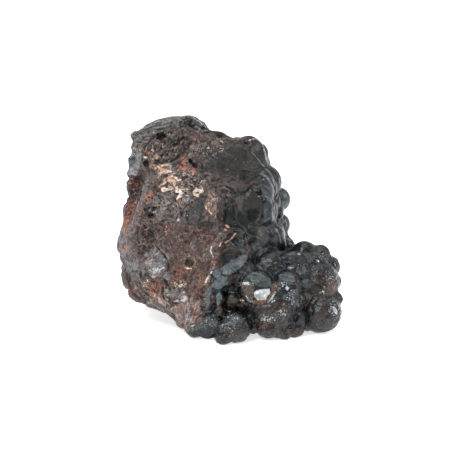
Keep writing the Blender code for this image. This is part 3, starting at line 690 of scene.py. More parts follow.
# The ore's finishes, from the lowest layer up. Colours are linear; each has a dark and a light
# tone. Places are in pixels of the photograph: blots are (x, y, half width, half height, turn),
# strokes are (corners, half width) and areas are corners. One more number says how strong a blot
# or stroke is. Soft and ragged say how gradual and how broken the rim is; breaks names the grain
# that does it, else the coarse one. Elsewhere is (mm wide, how much) for what the front hides.
oreFinish = {
    "crust": {
        "dark": (0.017, 0.013, 0.011), "light": (0.072, 0.057, 0.052), "rough": 0.55, "metal": 0.2,
        "ragged": 1.0,
    },
    "redCrust": {
        "dark": (0.017, 0.0085, 0.0065), "light": (0.068, 0.034, 0.027), "rough": 0.65, "metal": 0.1,
        "soft": 1.0, "ragged": 3.0, "crustElsewhere": (9.0, 0.7),
        "blots": [
            (186, 270, 26, 24, 0), (200, 288, 12, 20, 0), (196, 240, 24, 14, 0), (165, 232, 16, 10, 0),
            (218, 262, 5, 14, 10), (195, 138, 12, 6, -10), (244, 180, 14, 6, 15, 0.4),
        ],
        "strokes": [
            ([(125, 272), (131, 290), (148, 303)], 4.0), ([(147, 150), (160, 153), (176, 156)], 3.0),
            ([(136, 200), (131, 216), (124, 229)], 6.0),
        ],
    },
    "cavityRed": {
        "dark": (0.009, 0.004, 0.003), "light": (0.125, 0.042, 0.027), "rough": 0.7, "metal": 0.0,
        "soft": 0.6, "ragged": 2.0, "crustElsewhere": (8.0, 0.05), "breaks": "crumbs",
        "blots": [
            (136, 187, 9, 17, 5), (148, 165, 4, 6, 15, 0.7), (153, 212, 5, 8, 0, 0.4),
            (130, 213, 7, 14, 18),
        ],
    },
    "ledgeGrey": {
        "dark": (0.029, 0.028, 0.026), "light": (0.126, 0.123, 0.116), "rough": 0.5, "metal": 0.2,
        "ragged": 1.2, "crustElsewhere": (13.0, 0.2),
        "blots": [(141, 141, 8, 6, 0), (199, 331, 12, 5, -18, 0.35)],
        "strokes": [([(137, 135), (152, 127.5), (172, 121), (186, 118)], 7.0)],
    },
    "lilac": {
        "dark": (0.055, 0.047, 0.048), "light": (0.158, 0.138, 0.140), "rough": 0.4, "metal": 0.3,
        "soft": 0.7, "ragged": 1.6, "crustElsewhere": (11.0, 0.25),
        "blots": [
            (156, 261, 12.5, 15, 0), (177, 294, 8, 7, 0), (137, 272, 8, 10, 20), (147, 297, 10, 5, 30),
            (166, 294, 4, 8, 0), (158, 220, 32, 30, 0, 0.36), (175, 160, 40, 20, 0, 0.2),
            (161, 206, 14, 13, 0, 0.95), (171, 211, 13, 7, 0, 0.85), (166, 155, 22, 4, 0, 0.55),
            (192, 246, 4, 5, 0, 0.7), (176, 208, 16, 9, 10, 0.6), (189, 200, 6, 4, 10, 1.0),
            (177, 211, 5, 2, 5, 0.9), (156, 303, 12, 4, 38),
        ],
        "strokes": [
            ([(148, 180), (143, 196), (138, 213), (132, 230)], 3.2),
            ([(127, 184), (126.5, 200), (124, 214)], 0.9, 0.55),
            ([(124, 234), (126, 248), (129, 262)], 8.5, 0.62),
        ],
    },
    "blueGrey": {
        "dark": (0.075, 0.080, 0.086), "light": (0.230, 0.232, 0.242), "rough": 0.4, "metal": 0.3,
        "soft": 0.5, "ragged": 1.6,
        "blots": [
            (156, 259, 11, 13, 0, 0.64), (167, 277, 4, 4, 0, 0.7), (161, 207, 11, 10, 0, 0.5),
            (188, 200, 6, 3, 10, 0.62), (148, 207, 4, 10, 10, 0.4), (168, 154, 16, 3, 0, 0.45),
        ],
        "strokes": [([(136, 154), (133.5, 161), (132, 170)], 6.4)],
    },
    "tan": {
        "dark": (0.050, 0.034, 0.026), "light": (0.23, 0.165, 0.125), "rough": 0.6, "metal": 0.0,
        "soft": 1.0, "ragged": 3.0, "crustElsewhere": (7.0, 0.15), "breaks": "crumbs",
        "blots": [
            (164, 170, 19, 11, 20, 0.55), (182, 188, 21, 10, 15, 0.55), (211, 205, 8.0, 14, 4, 0.62),
            (150, 163, 10, 6, 0, 0.6), (157, 211, 6, 7, 0, 0.5), (207, 256, 5, 11, 10, 0.4),
            (178, 285, 9, 5, 0, 0.8), (196, 205, 12, 4, 0, 0.6), (143, 288, 5, 4, 0, 0.6),
            (150, 285, 14, 5, 0, 0.4), (198, 150, 20, 10, 0, 0.25), (172, 204, 14, 8, 0, 0.4),
            (165, 290, 8, 5, 0, 0.3), (164, 208, 40, 26, 0, 0.2), (186, 256, 10, 8, 0, 0.3),
        ],
        "strokes": [
            ([(151, 293), (157, 297), (163, 304)], 2.4), ([(205, 285), (209, 276), (214, 268)], 2.5),
            ([(184, 262), (186, 257), (190, 256), (194, 258), (195.5, 263), (192, 267.5),
              (186, 267.5)], 1.2, 0.6),
            ([(165, 180), (172, 176), (178, 180)], 2.6, 0.8),
            ([(172, 181), (175, 186), (178, 189)], 2.4, 0.8),
        ],
    },
    "rosy": {
        "dark": (0.078, 0.056, 0.050), "light": (0.225, 0.168, 0.154), "rough": 0.5, "metal": 0.15,
        "soft": 0.8, "ragged": 1.5,
        "blots": [(187, 313, 15, 13, 20), (158, 300, 10, 4, 35)],
    },
    "darkTeal": {
        "dark": (0.015, 0.016, 0.016), "light": (0.046, 0.048, 0.046), "rough": 0.4, "metal": 0.3,
        "soft": 0.4, "ragged": 0.9,
        "blots": [(161.5, 136, 6.0, 2.8, -8), (168, 178, 6, 1.6, 0, 0.6)],
        "areas": [[
            (181, 213), (187, 209), (191, 202), (199, 198), (207, 195), (206, 204), (202, 212),
            (204, 222), (196, 226), (187, 224), (180, 220),
        ]],
    },
    "lightLens": {
        "dark": (0.032, 0.030, 0.028), "light": (0.080, 0.076, 0.070), "rough": 0.4, "metal": 0.3,
        "soft": 0.6, "ragged": 1.4,
        "blots": [(239.5, 203.5, 4.0, 9.5, 4), (244, 212, 5, 4, 0, 0.4), (256, 188, 6, 5, 0, 0.6)],
    },
    # A near-black tone, partly the ore's own and partly painted shade under the ledge and crown and in
    # the bowl under its lip
    "darkToneAndShade": {
        "dark": (0.010, 0.009, 0.008), "light": (0.024, 0.023, 0.022), "rough": 0.42, "metal": 0.3,
        "soft": 0.7, "ragged": 1.2, "crustElsewhere": (10.0, 0.02),
        "blots": [
            (240, 162, 26, 24, 0), (222, 204, 4, 9, 0), (176, 140, 20, 7, -8, 0.5),
            (253, 207, 11, 17, 0, 0.8), (232, 213, 8, 13, 0, 0.9), (212, 160, 15, 15, 0, 0.8),
            (253, 238, 14, 11, 0, 0.9), (243, 242, 8, 9, 0, 0.9), (305, 252, 8, 6, 0, 0.5),
            (248, 176, 16, 9, 10, 0.9),
        ],
        "strokes": [
            ([(183, 123), (196, 122), (212, 132), (226, 136)], 4.5),
            ([(186, 216), (200, 222), (214, 226)], 3.0),
        ],
    },
    # Slate-blue facets and dome tops, partly painted sheen: lighter where the flat tops and the big upper
    # dome catch the light
    "facetBlueAndSheen": {
        "dark": (0.026, 0.032, 0.035), "light": (0.052, 0.062, 0.067), "rough": 0.3, "metal": 0.5,
        "soft": 0.5, "ragged": 1.2, "domeElsewhere": (9.0, 0.25),
        "blots": [
            (208, 299, 3.5, 11, 0), (219, 302, 2.5, 7, -4), (301, 270, 5, 4, 0), (308, 284, 8, 5, 0),
            (317, 290, 4, 4, 0), (197, 122, 8, 2.5, 20), (295, 297, 5, 8, 0), (193, 327, 8, 3, -25),
            (257, 252, 5, 4, 0), (213, 320, 7, 7, 0), (233, 323, 12, 9, 0, 0.75),
            (326, 284, 9, 7, 0, 0.5), (266, 188, 8, 12, -16, 0.68), (262, 158, 5, 13, -30, 0.35),
            (199, 327, 8, 2.0, -20), (229, 246, 7, 6, 0, 0.6), (243, 248, 4, 8, 0, 0.55),
            (268, 212, 5.5, 13, 0), (284.5, 199, 5, 9, 0), (284, 223, 4, 9, 0, 0.8),
            (278, 190, 3, 10, 0, 0.5),
        ],
        "areas": slabTops + [[(209, 273), (216, 267), (223, 270), (220, 276), (212, 279)]],
    },
    # Slate-blue slabs and strips of the foot, partly painted sheen: lighter where they face up into the
    # light
    "slabBlueAndSheen": {
        "dark": (0.046, 0.057, 0.062), "light": (0.104, 0.124, 0.133), "rough": 0.34, "metal": 0.4,
        "soft": 0.5, "ragged": 1.6,
        "blots": [
            (252, 236, 3, 4, 0, 0.6), (260, 249, 4, 3, 0, 0.6), (208.5, 293, 3.6, 6, 0, 0.9),
            (209, 305, 3.2, 9, 0, 1.0), (219, 300, 3.0, 9, 0, 0.9), (233, 266, 11, 7, -25, 0.7),
            (215, 274, 5, 4, 0, 0.9), (267, 284.5, 5, 2.2, -10, 0.4), (255, 279.5, 5, 1.8, -10, 0.3),
            (284.5, 199, 4, 8, 0, 0.5), (268, 212, 4, 12, 0, 0.4),
        ],
        "areas": [
            [(247, 255), (246, 262), (239, 269), (230, 275), (222, 274), (224, 267), (233, 262),
             (240, 256)],
            [(212, 283), (221, 276), (229, 278), (228, 284), (218, 289), (210, 287)],
        ],
    },
    "dust": {
        "dark": (0.015, 0.012, 0.010), "light": (0.042, 0.033, 0.028), "rough": 0.34, "metal": 0.3,
        "soft": 1.5, "ragged": 2.6, "domeElsewhere": (6.0, 0.35),
        "blots": [
            (272, 312, 28, 20, 0, 0.7), (324, 317, 17, 14, 0, 0.62), (324, 288, 18, 14, 0, 0.85),
            (236, 333, 15, 8, 0, 0.8), (290, 334, 15, 6, 0), (248, 291, 6, 8, 0),
            (264, 262, 14, 9, 0, 0.4), (234, 278, 8, 6, 0, 0.8), (229, 250, 8, 8, 0),
            (233, 302, 9, 8, 0, 0.8), (212, 304, 5, 14, 0, 0.6), (244, 305, 7, 12, 0, 0.85),
            (222, 311, 7, 8, 0, 0.8), (231, 289, 9, 5, 0, 0.45),
        ],
    },
    "stain": {
        "dark": (0.048, 0.020, 0.012), "light": (0.205, 0.088, 0.053), "rough": 0.65, "metal": 0.0,
        "soft": 1.2, "ragged": 2.6, "crustElsewhere": (6.0, 0.2), "breaks": "crumbs",
        "blots": [
            (156, 288, 9, 9, 20), (201, 280, 7, 17, 12, 0.52), (177, 282, 10, 7, 0, 0.66),
            (181, 270, 11, 7, 0, 0.55), (205, 236, 12, 6, 0, 0.34), (186, 230, 14, 8, 0, 0.3),
            (209, 206, 7, 12, 0, 0.46), (134, 292, 8, 10, 40, 0.45), (190, 296, 8, 7, 0, 0.4),
            (178, 308, 4, 8, 0, 0.45), (194, 312, 3, 7, 20, 0.7), (138, 188, 8, 14, 0, 0.25),
            (196, 252, 10, 10, 0, 0.25), (166, 292, 30, 14, 20, 0.25), (160, 238, 22, 20, 0, 0.22),
            (160, 200, 24, 20, 0, 0.25), (240, 178, 14, 6, 15, 0.1), (195, 140, 12, 6, 0, 0.3),
            (322, 300, 14, 8, 0, 0.2), (290, 334, 10, 4, 0, 0.25), (268, 329, 14, 7, 0, 0.2),
            (330, 288, 8, 10, 0, 0.24), (288, 270, 12, 10, 0, 0.14),
        ],
        "strokes": [([(133, 206), (129, 220), (124, 231)], 5.0, 0.48)],
    },
    "capBrown": {
        "dark": (0.026, 0.021, 0.017), "light": (0.094, 0.074, 0.060), "rough": 0.4, "metal": 0.2,
        "soft": 0.4, "ragged": 1.4, "breaks": "fine",
        "blots": [
            (233, 302, 7, 6, 0, 0.45), (312, 306, 6, 4, 0, 0.3), (304, 300, 5, 8, 0, 0.5),
            (244, 306, 6, 10, 0, 0.42), (222, 311, 5, 6, 0, 0.42),
        ],
        "areas": [[(241, 285), (252, 285.5), (254, 292), (254.5, 297), (250, 299), (244, 294)]],
    },
    "jet": {
        "dark": (0.005, 0.006, 0.006), "light": (0.013, 0.015, 0.016), "rough": 0.2, "metal": 0.4,
        "soft": 0.6, "ragged": 0.8,
        "blots": [
            (305, 254, 11, 9, 0), (318, 250, 6, 5, 0, 0.8), (231, 214, 6, 10, 0, 0.8),
            (248, 237, 9, 11, 0, 0.6), (254, 216, 9, 9, 20, 0.6), (248, 176, 14, 6, 10, 0.52),
            (291, 330, 12, 6, 0, 0.5), (316, 257, 9, 6, 0, 0.5),
        ],
    },
    "rust": {
        "dark": (0.12, 0.038, 0.022), "light": (0.40, 0.145, 0.085), "rough": 0.8, "metal": 0.0,
        "soft": 1.1, "ragged": 3.6, "crustElsewhere": (5.0, 0.10), "breaks": "crumbs",
        "blots": [
            (183.5, 160, 3.2, 5.4, 0), (184.5, 168, 4.2, 2.6, 10), (193.5, 171, 4.2, 2.2, -40),
            (148, 152.5, 3.6, 1.8, 10, 0.8), (139.5, 146.5, 1.4, 2.2, 0, 0.7),
            (147, 197.5, 1.5, 5.0, 25, 0.75), (227.5, 169.5, 1.3, 0.9, -20, 0.8), (126, 235, 1.6, 1.4, 0),
            (124.5, 248.5, 1.8, 1.6, 0), (152, 259, 1.7, 1.5, 0), (149.5, 263, 1.7, 1.2, 0),
            (157, 290, 9.0, 8.0, 30, 0.22), (213.5, 262, 2.5, 2.5, 0, 0.6), (150, 281, 6, 4, 0, 0.4),
            (170.5, 301.5, 2.2, 1.8, 0, 0.8), (186, 207, 2.2, 1.4, 0, 0.8), (180, 202, 3.0, 1.2, 0, 0.8),
            (153, 181, 2.4, 1.0, 0, 0.8), (173, 157, 3.0, 1.2, 0, 0.7), (167, 153, 2.0, 1.0, 0, 0.7),
            (150, 192, 3.0, 1.2, 0, 0.7), (197.5, 192.5, 1.4, 1.2, 0, 0.8), (138, 186, 7, 10, 0, 0.15),
            (143, 206, 4, 16, 15, 0.26), (160, 207, 10, 9, 0, 0.2), (160, 190, 24, 12, 0, 0.2),
            (246, 142, 8, 4, 0, 0.2), (150, 238, 24, 24, 0, 0.18), (194.5, 317, 2.4, 2.4, 0, 0.9),
        ],
        "strokes": [
            ([(146, 201), (151, 195)], 1.6, 0.9), ([(135, 202), (131, 216), (124, 229)], 4.6, 0.26),
            ([(194, 306), (198, 313)], 1.2, 0.5),
        ],
    },
    "domeRust": {
        "dark": (0.045, 0.021, 0.014), "light": (0.17, 0.076, 0.045), "rough": 0.6, "metal": 0.0,
        "soft": 1.3, "ragged": 2.3, "domeElsewhere": (3.0, 0.05), "breaks": "fine",
        "blots": [
            (213, 300, 2.0, 8.0, 0, 0.5), (221, 307, 2.5, 2.5, 0, 0.6), (229, 336, 1.6, 1.3, 0),
            (283.5, 303.5, 3.0, 2.2, 0, 0.7), (300, 273, 2.0, 1.2, 0, 0.65),
            (296, 284, 1.4, 6.0, -25, 0.55), (335, 288, 4.0, 8.0, 10, 0.4), (276, 263, 1.9, 1.2, 0, 0.6),
            (243, 272, 4.0, 1.6, 0, 0.6), (290, 332, 9.0, 4.0, -10, 0.3), (268, 326, 12.0, 7.0, 0, 0.24),
            (284, 320, 7.0, 5.0, 0, 0.22), (230, 323, 5.0, 3.0, 0, 0.3), (280, 309, 14.0, 5.0, 0, 0.22),
            (322, 298, 14.0, 5.0, 0, 0.22), (319, 325, 14.0, 6.0, -15, 0.22), (322, 280, 12, 8, 0, 0.2),
            (272, 312, 26, 20, 0, 0.12),
        ],
        "strokes": [
            ([(251, 300), (256, 302.5), (262, 302.5), (268, 299.5), (273, 293), (274, 285)], 1.5, 0.8),
            ([(246.5, 240), (248, 250), (246.5, 262)], 0.9, 0.6), ([(205, 290), (204, 300)], 1.0, 0.5),
        ],
    },
    # Pink specks, and a painted highlight along the lip at the crust's right edge
    "pinkAndHighlight": {
        "dark": (0.28, 0.15, 0.115), "light": (0.58, 0.35, 0.28), "rough": 0.6, "metal": 0.0,
        "soft": 0.8, "ragged": 1.8, "breaks": "crumbs",
        "blots": [
            (227, 226, 2.2, 1.1, 40), (225.5, 230, 1.8, 1.1, 10), (219.5, 233.5, 1.9, 1.0, 0, 0.8),
            (221.5, 141, 2.0, 1.2, 0), (157, 157.5, 4.4, 2.4, 10, 0.8), (203, 181, 3.5, 2.0, 0, 0.5),
        ],
        "strokes": [([(219.5, 246), (221, 243), (226, 242), (231, 239), (235.5, 233.5)], 0.8, 0.85)],
    },
    "paleSpecks": {
        "dark": (0.20, 0.150, 0.120), "light": (0.66, 0.55, 0.46), "rough": 0.5, "metal": 0.0,
        "soft": 1.1, "ragged": 3.6, "crustElsewhere": (3.0, 0.0), "breaks": "crumbs",
        "blots": [
            (161, 170, 9, 7, 20, 0.3), (186, 188, 14, 6, -5, 0.3), (176, 182, 7, 8, 20, 0.25),
            (212, 202, 5, 9, 0, 0.22), (152, 151, 3.0, 2.0, 0, 0.4), (178, 284, 7.0, 4, 0, 0.5),
            (188, 175, 12, 4.0, 10, 0.2), (155, 132, 2.0, 1.4, 0, 0.7), (168, 133, 3.2, 1.6, 0, 0.5),
            (242, 300.5, 2.2, 2.0, 0, 0.4), (202, 321, 1.6, 2.2, 0, 0.3), (220, 146, 8, 6, 0, 0.16),
            (176, 206, 22, 10, 10, 0.17), (188, 150, 24, 8, 0, 0.1), (160, 236, 22, 14, 0, 0.1),
            (196, 182, 9, 4, 10, 0.25), (134, 184, 6, 10, 0, 0.2), (150, 268, 6, 6, 0, 0.2),
            (207, 254, 4, 6, 0, 0.14),
        ],
    },
    "ochre": {
        "dark": (0.30, 0.18, 0.115), "light": (0.60, 0.39, 0.265), "rough": 0.5, "metal": 0.0,
        "soft": 0.5, "ragged": 1.0, "breaks": "crumbs",
        "blots": [
            (158.5, 167, 2.6, 1.2, 15), (152.5, 163, 2.2, 1.4, 40, 0.8), (206, 202, 2.0, 6.0, 10, 0.5),
        ],
        "areas": [[(158, 168.5), (163, 168), (169, 170), (167.5, 173.5), (158.5, 173.8)]],
        "strokes": [
            ([(164.5, 180.5), (168, 178), (172, 176)], 1.3),
            ([(171, 180), (174, 181), (175, 184)], 1.6, 0.9), ([(161, 166.5), (167, 164.5)], 0.8),
            ([(151, 293), (157, 297), (162, 303)], 1.4, 0.5),
        ],
    },
    "cream": {
        "dark": (0.34, 0.25, 0.19), "light": (0.74, 0.62, 0.52), "rough": 0.45, "metal": 0.0,
        "soft": 1.2, "ragged": 2.0, "breaks": "crumbs", "uneven": 0.9,
        "blots": [
            (157, 158.5, 3.4, 1.4, -20), (146, 157.5, 2.4, 1.2, 0), (154.5, 212, 2.4, 1.5, -30, 0.9),
            (188, 195.5, 2.0, 1.0, 0), (178, 219, 1.2, 2.2, 0, 0.8), (183, 289, 1.6, 1.4, 0, 0.8),
            (172.3, 285.5, 1.3, 1.1, 0, 0.8), (176.3, 284, 1.2, 1.0, 0, 0.7),
            (208, 148, 1.6, 1.2, 0, 0.8), (180.5, 180, 2.0, 1.0, -20, 0.8),
        ],
        "strokes": [
            ([(158, 187), (163, 184), (168, 180.5)], 0.8), ([(172, 176), (176, 178), (178, 180)], 1.1),
            ([(173, 183), (175, 186), (178, 189)], 0.9), ([(163, 190), (168, 189), (172, 187.5)], 1.5),
            ([(165, 171), (171, 171.5)], 0.9), ([(161, 166), (165, 164.6), (168, 165.5)], 0.7),
            ([(181, 189.5), (188, 189)], 0.9), ([(188, 187), (193, 184)], 0.6, 0.8),
            ([(194, 192.5), (197, 189.6), (199.5, 191), (202, 191)], 1.2),
            ([(195, 194.5), (198, 196), (199.5, 192)], 1.0), ([(205.8, 203.5), (206.5, 208.5)], 0.8, 0.8),
            ([(208.5, 210), (211, 213.5)], 0.7, 0.8), ([(185, 267.5), (189, 269), (195, 267)], 0.9, 0.7),
            ([(211.5, 247), (210.5, 252), (213.5, 257)], 0.8, 0.8),
            ([(205.5, 282), (208.5, 276), (212, 271.5)], 1.0, 0.8), ([(196, 181), (202, 183)], 0.6, 0.7),
        ],
    },
    "starWhite": {
        "dark": (0.46, 0.40, 0.34), "light": (0.80, 0.74, 0.66), "rough": 0.4, "metal": 0.0,
        "soft": 0.4, "ragged": 0.8, "breaks": "crumbs",
        "areas": [[
            (174.5, 191.3), (176, 190), (179, 188.3), (181, 190.3), (184, 192), (182.7, 194),
            (182.3, 197), (179.3, 197.6), (177, 199.6), (176.3, 197.2), (178.6, 195.2), (178.8, 193),
            (176, 192.6),
        ]],
    },
    # Painted highlights: thin pale lines and spots along ledge steps, dome rims and the knob, where light
    # catches the edges
    "paintedEdgeHighlight": {
        "dark": (0.14, 0.147, 0.152), "light": (0.36, 0.375, 0.385), "rough": 0.35, "metal": 0.3,
        "soft": 0.9, "ragged": 1.6, "breaks": "crumbs",
        "blots": [
            (184.5, 292, 1.4, 1.6, 0, 0.9), (163, 258, 3, 10, 0, 0.2), (152, 254, 6, 6, 0, 0.16),
            (187, 316, 2.0, 6, 8, 0.7), (262, 173, 3, 2.4, 0, 0.5), (167, 291, 2.0, 3.4, 0, 0.5),
        ],
        "strokes": [
            ([(181, 125), (184, 120.5), (190, 118.8)], 0.5, 0.6),
            ([(193, 118), (199, 121), (206, 127)], 0.7),
            ([(196, 127), (203, 130.5), (208, 131)], 0.8, 0.8),
            ([(160, 158), (164, 157), (167, 158)], 0.7, 0.8),
            ([(168, 161), (169.5, 164), (171, 167)], 1.1, 0.9), ([(170, 174.3), (176, 173.3)], 0.9, 0.8),
            ([(246, 141), (256, 138.5), (262, 143), (265, 152), (266.5, 160), (271, 166)], 0.7, 0.62),
            ([(246, 296), (249, 300), (254, 303)], 0.7), ([(268, 302), (272, 298), (275, 292)], 0.8),
            ([(226, 291), (229, 292.5), (233.5, 292.5)], 0.7, 0.8), ([(288, 267.5), (294, 268)], 0.7),
            ([(334, 263), (337, 269), (338, 276)], 0.4, 0.6),
        ],
    },
    # Painted highlights: white patches on the lilac facet and on the knob
    "paintedWhiteHighlight": {
        "dark": (0.20, 0.196, 0.205), "light": (0.54, 0.525, 0.55), "rough": 0.35, "metal": 0.1,
        "soft": 1.2, "ragged": 2.8, "breaks": "fine", "uneven": 0.8,
        "blots": [
            (157.5, 270, 4.2, 2.5, -10), (154, 277, 1.8, 1.4, 0, 0.7), (168.6, 295, 1.4, 1.4, 0),
            (184, 298, 2.6, 1.6, 0), (154, 254, 3, 1.4, 0, 0.4), (151, 262, 1.4, 4, 10, 0.3),
            (164, 263, 1.4, 4, 0, 0.3), (158, 265, 7, 6, 0, 0.14), (146, 282, 4, 3, 0, 0.25),
            (188, 317, 1.4, 5, 10, 0.4), (143, 287, 2, 2, 0, 0.5),
        ],
        "strokes": [([(174, 301.5), (177, 300.5), (184, 300.5)], 0.9)],
    },
    # Painted highlights: bright lines along the rims of the upper domes
    "paintedRimHighlight": {
        "dark": (0.070, 0.076, 0.080), "light": (0.22, 0.235, 0.245), "rough": 0.35, "metal": 0.4,
        "soft": 0.8, "ragged": 0.7, "breaks": "crumbs", "uneven": 0.25,
        "blots": [(262, 172.5, 3.0, 2.6, -30, 0.6), (265, 176, 3.6, 2.0, -20, 0.5)],
        "strokes": [
            ([(260, 174), (266, 176), (271, 183), (274, 191), (273, 201)], 0.6),
            ([(279, 178), (281, 188), (278, 196), (274, 201), (275, 212), (276.5, 224)], 0.5, 0.9),
            ([(276.5, 224), (283, 230), (287, 236)], 0.4, 0.8),
            ([(276, 229), (279.5, 235), (281, 243)], 0.4, 0.8),
            ([(283, 232), (286, 238), (291, 241)], 0.5, 0.7),
            ([(240, 188), (247, 187.5), (254, 189), (260, 194)], 0.5, 0.5),
            ([(258, 196.5), (264, 195.5), (269, 198), (272.5, 203)], 0.5, 0.9),
            ([(272, 208), (273, 220)], 0.5, 0.8), ([(250, 150), (258, 159), (266, 169)], 0.45, 0.85),
            ([(266.5, 158), (268, 166)], 0.7, 0.7), ([(285, 192), (287.5, 198), (287, 205)], 0.5, 0.6),
            ([(285, 218), (287, 226)], 0.5, 0.6), ([(246, 222), (251, 225), (257, 223)], 0.4, 0.4),
            ([(262, 240), (270, 246), (278, 250)], 0.5, 0.5),
        ],
    },
    # Painted highlights: bright sparkles on the domes of the foot
    "paintedSparkle": {
        "dark": (0.085, 0.093, 0.098), "light": (0.36, 0.38, 0.39), "rough": 0.3, "metal": 0.5,
        "soft": 1.4, "ragged": 2.2, "breaks": "speck",
        "blots": [
            (232, 316, 8, 5, 0, 0.42), (267, 318.5, 8, 4, 0, 0.42), (291, 299, 7, 8, 0, 0.3),
            (334, 310, 4, 8, -15, 0.45), (213, 321, 9, 9, 0, 0.22), (281, 313, 5, 4, 0, 0.4),
            (323, 291, 3, 5, 0, 0.4), (330, 277, 4, 6, 0, 0.3), (246, 284, 7, 2.4, 0, 0.6),
            (272, 300, 4, 6, 0, 0.25), (250, 302, 4, 3, 0, 0.4), (205, 306, 3, 12, 0, 0.25),
            (283, 285, 5, 3, 0, 0.5), (230, 328, 12, 8, 0, 0.2), (300, 265, 8, 5, 0, 0.15),
            (322, 256, 6, 5, 0, 0.2), (231, 292, 5, 2, 0, 0.3),
        ],
    },
    # Painted reflection: pale patches on the cap's flat facet and on small dome facets, where they mirror
    # the lamps
    "paintedReflection": {
        "dark": (0.29, 0.30, 0.31), "light": (0.46, 0.47, 0.48), "rough": 0.24, "metal": 0.6,
        "soft": 0.2, "ragged": 0.5,
        "blots": [
            (299, 254, 1.3, 1.3, 0), (318, 261, 1.3, 1.0, 0), (335, 310, 1.8, 4.0, -20),
            (287, 288, 1.6, 1.8, 0), (323.5, 292, 1.0, 1.6, 0),
        ],
        "areas": [
            [(254, 292), (258, 290), (270, 288.5), (270.5, 293), (266, 299), (258, 300.5), (254.5, 297)],
            [(240, 282.4), (246, 281.8), (250.5, 283.2), (250, 284.8), (244, 284.6), (240, 283.8)],
        ],
    },
}

# What lies under them all: the slate grey of the domes
slateTone = {"dark": (0.010, 0.012, 0.013), "light": (0.023, 0.027, 0.030), "rough": 0.24, "metal": 0.6}

# Streaks drawn out along one way: degrees from level, mm wide and long, and their two tones
streaks = {
    "columns": {
        "blots": [(170, 148, 34, 10, -6), (208, 150, 12, 10, 0)],
        "soft": 0.8, "angle": 76, "wide": 0.6, "long": 4.5,
        "light": (0.23, 0.190, 0.165), "dark": (0.010, 0.008, 0.007), "share": 1.0,
    },
    "ledgeLines": {
        "strokes": [([(137, 137), (152, 128.5), (172, 121), (186, 118)], 7.0)], "soft": 0.5,
        "angle": 17, "wide": 0.7, "long": 9.0,
        "light": (0.20, 0.195, 0.185), "dark": (0.014, 0.013, 0.012), "share": 0.9,
    },
    "rosyLines": {
        "blots": [(187, 313, 16, 14, 20)], "soft": 0.6,
        "angle": 76, "wide": 0.8, "long": 7.0,
        "light": (0.36, 0.30, 0.28), "dark": (0.075, 0.034, 0.024), "share": 0.9,
    },
    "lensLines": {
        "blots": [(211, 205, 8, 13, 4)], "soft": 0.6,
        "angle": 82, "wide": 0.55, "long": 3.5,
        "light": (0.37, 0.245, 0.185), "dark": (0.058, 0.030, 0.021), "share": 0.8,
    },
    "footLines": {
        "strokes": [([(140, 288), (152, 298), (168, 308)], 8.0)], "soft": 0.6,
        "angle": -38, "wide": 0.7, "long": 6.0,
        "light": (0.30, 0.25, 0.23), "dark": (0.045, 0.022, 0.016), "share": 0.8,
    },
    "slabLines": {
        "areas": slabTops,
        "blots": [(284, 268, 10, 3, 0), (308, 284, 8, 5, 0)],
        "angle": -8, "wide": 0.6, "long": 4.0,
        "light": (0.090, 0.106, 0.114), "dark": (0.010, 0.011, 0.012), "share": 0.75,
    },
    "foldLines": {
        "blots": [(232, 188, 24, 14, 10), (262, 236, 26, 16, -40), (238, 150, 24, 12, 0, 0.4)],
        "soft": 0.8, "angle": -24, "wide": 0.7, "long": 6.0,
        "light": (0.105, 0.108, 0.105), "dark": (0.008, 0.007, 0.007), "share": 0.5,
    },
}

# Painted shade: holes painted black, where the crust is deepest
pitShade = {
    "soft": 0.5, "uneven": 1.0,
    "blots": [
        (162.5, 136, 3.6, 1.6, -15, 0.7), (146.5, 164, 2.4, 4.0, 15), (190.5, 161, 1.9, 3.2, -30),
        (194.5, 165.5, 1.6, 2.7, -35), (153, 208.5, 1.3, 4.6, 12), (150, 215, 2.6, 1.3, -20),
        (191, 264, 2.0, 1.4, 0, 0.5), (140.8, 276.5, 1.3, 4.0, 0), (165.5, 282.5, 1.4, 5.0, -35),
        (218, 216, 1.4, 3.0, 0), (166, 176, 2.0, 1.2, 0), (186, 177, 3.0, 1.4, -20),
        (170.8, 293, 1.0, 4.6, -14), (143, 298, 3.0, 1.2, 40), (177.2, 194.3, 1.1, 1.4, -20),
        (174.6, 299.8, 0.9, 0.9, 0), (183, 179, 1.2, 1.8, 30), (187, 176.5, 2.0, 1.0, -20),
        (141.5, 177, 1.6, 2.6, 0), (142, 186, 1.2, 2.0, 0), (141, 193, 1.6, 3.4, 0),
        (138, 199, 1.2, 1.8, 0), (197, 164, 1.2, 1.4, 0), (136, 177.5, 3.6, 1.8, -20, 0.8),
        (143.2, 181, 1.8, 3.6, 10), (131.3, 192, 2.8, 2.2, 0), (141, 191.5, 2.4, 1.8, 0),
        (133, 186, 1.2, 2.0, 0, 0.8), (136, 184, 6, 9, 0, 0.3), (131, 203, 1.4, 2.0, 0, 0.6),
        (131, 214, 1.4, 2.4, 0, 0.6),
    ],
    "strokes": [
        ([(126.5, 273), (128, 281), (131.5, 290)], 0.8, 0.7), ([(124, 262), (127, 266)], 1.2),
        ([(133, 134.5), (150, 130), (165, 128.5), (180, 128)], 0.9, 0.5), ([(134, 294), (141, 300)], 1.2),
        ([(162.6, 287), (161.8, 293), (164, 298.5)], 0.9),
        ([(163.5, 279), (166, 283), (168.5, 285.5)], 0.9),
        ([(153, 137.5), (148, 143), (144, 147.5)], 0.7, 0.8),
    ],
}

# Warm and cool crumbs all over the crust: their grain as in oreGrains, and how much of it they are
tints = {
    "warm": {
        "colour": (0.105, 0.040, 0.027),
        "grain": (1.5, 3.0, 0.65, 31.0, 1.0), "range": (0.52, 0.60, 0.0, 0.55),
    },
    "cool": {
        "colour": (0.140, 0.122, 0.126),
        "grain": (1.8, 3.0, 0.65, 37.0, 1.0), "range": (0.52, 0.60, 0.0, 0.45),
    },
}
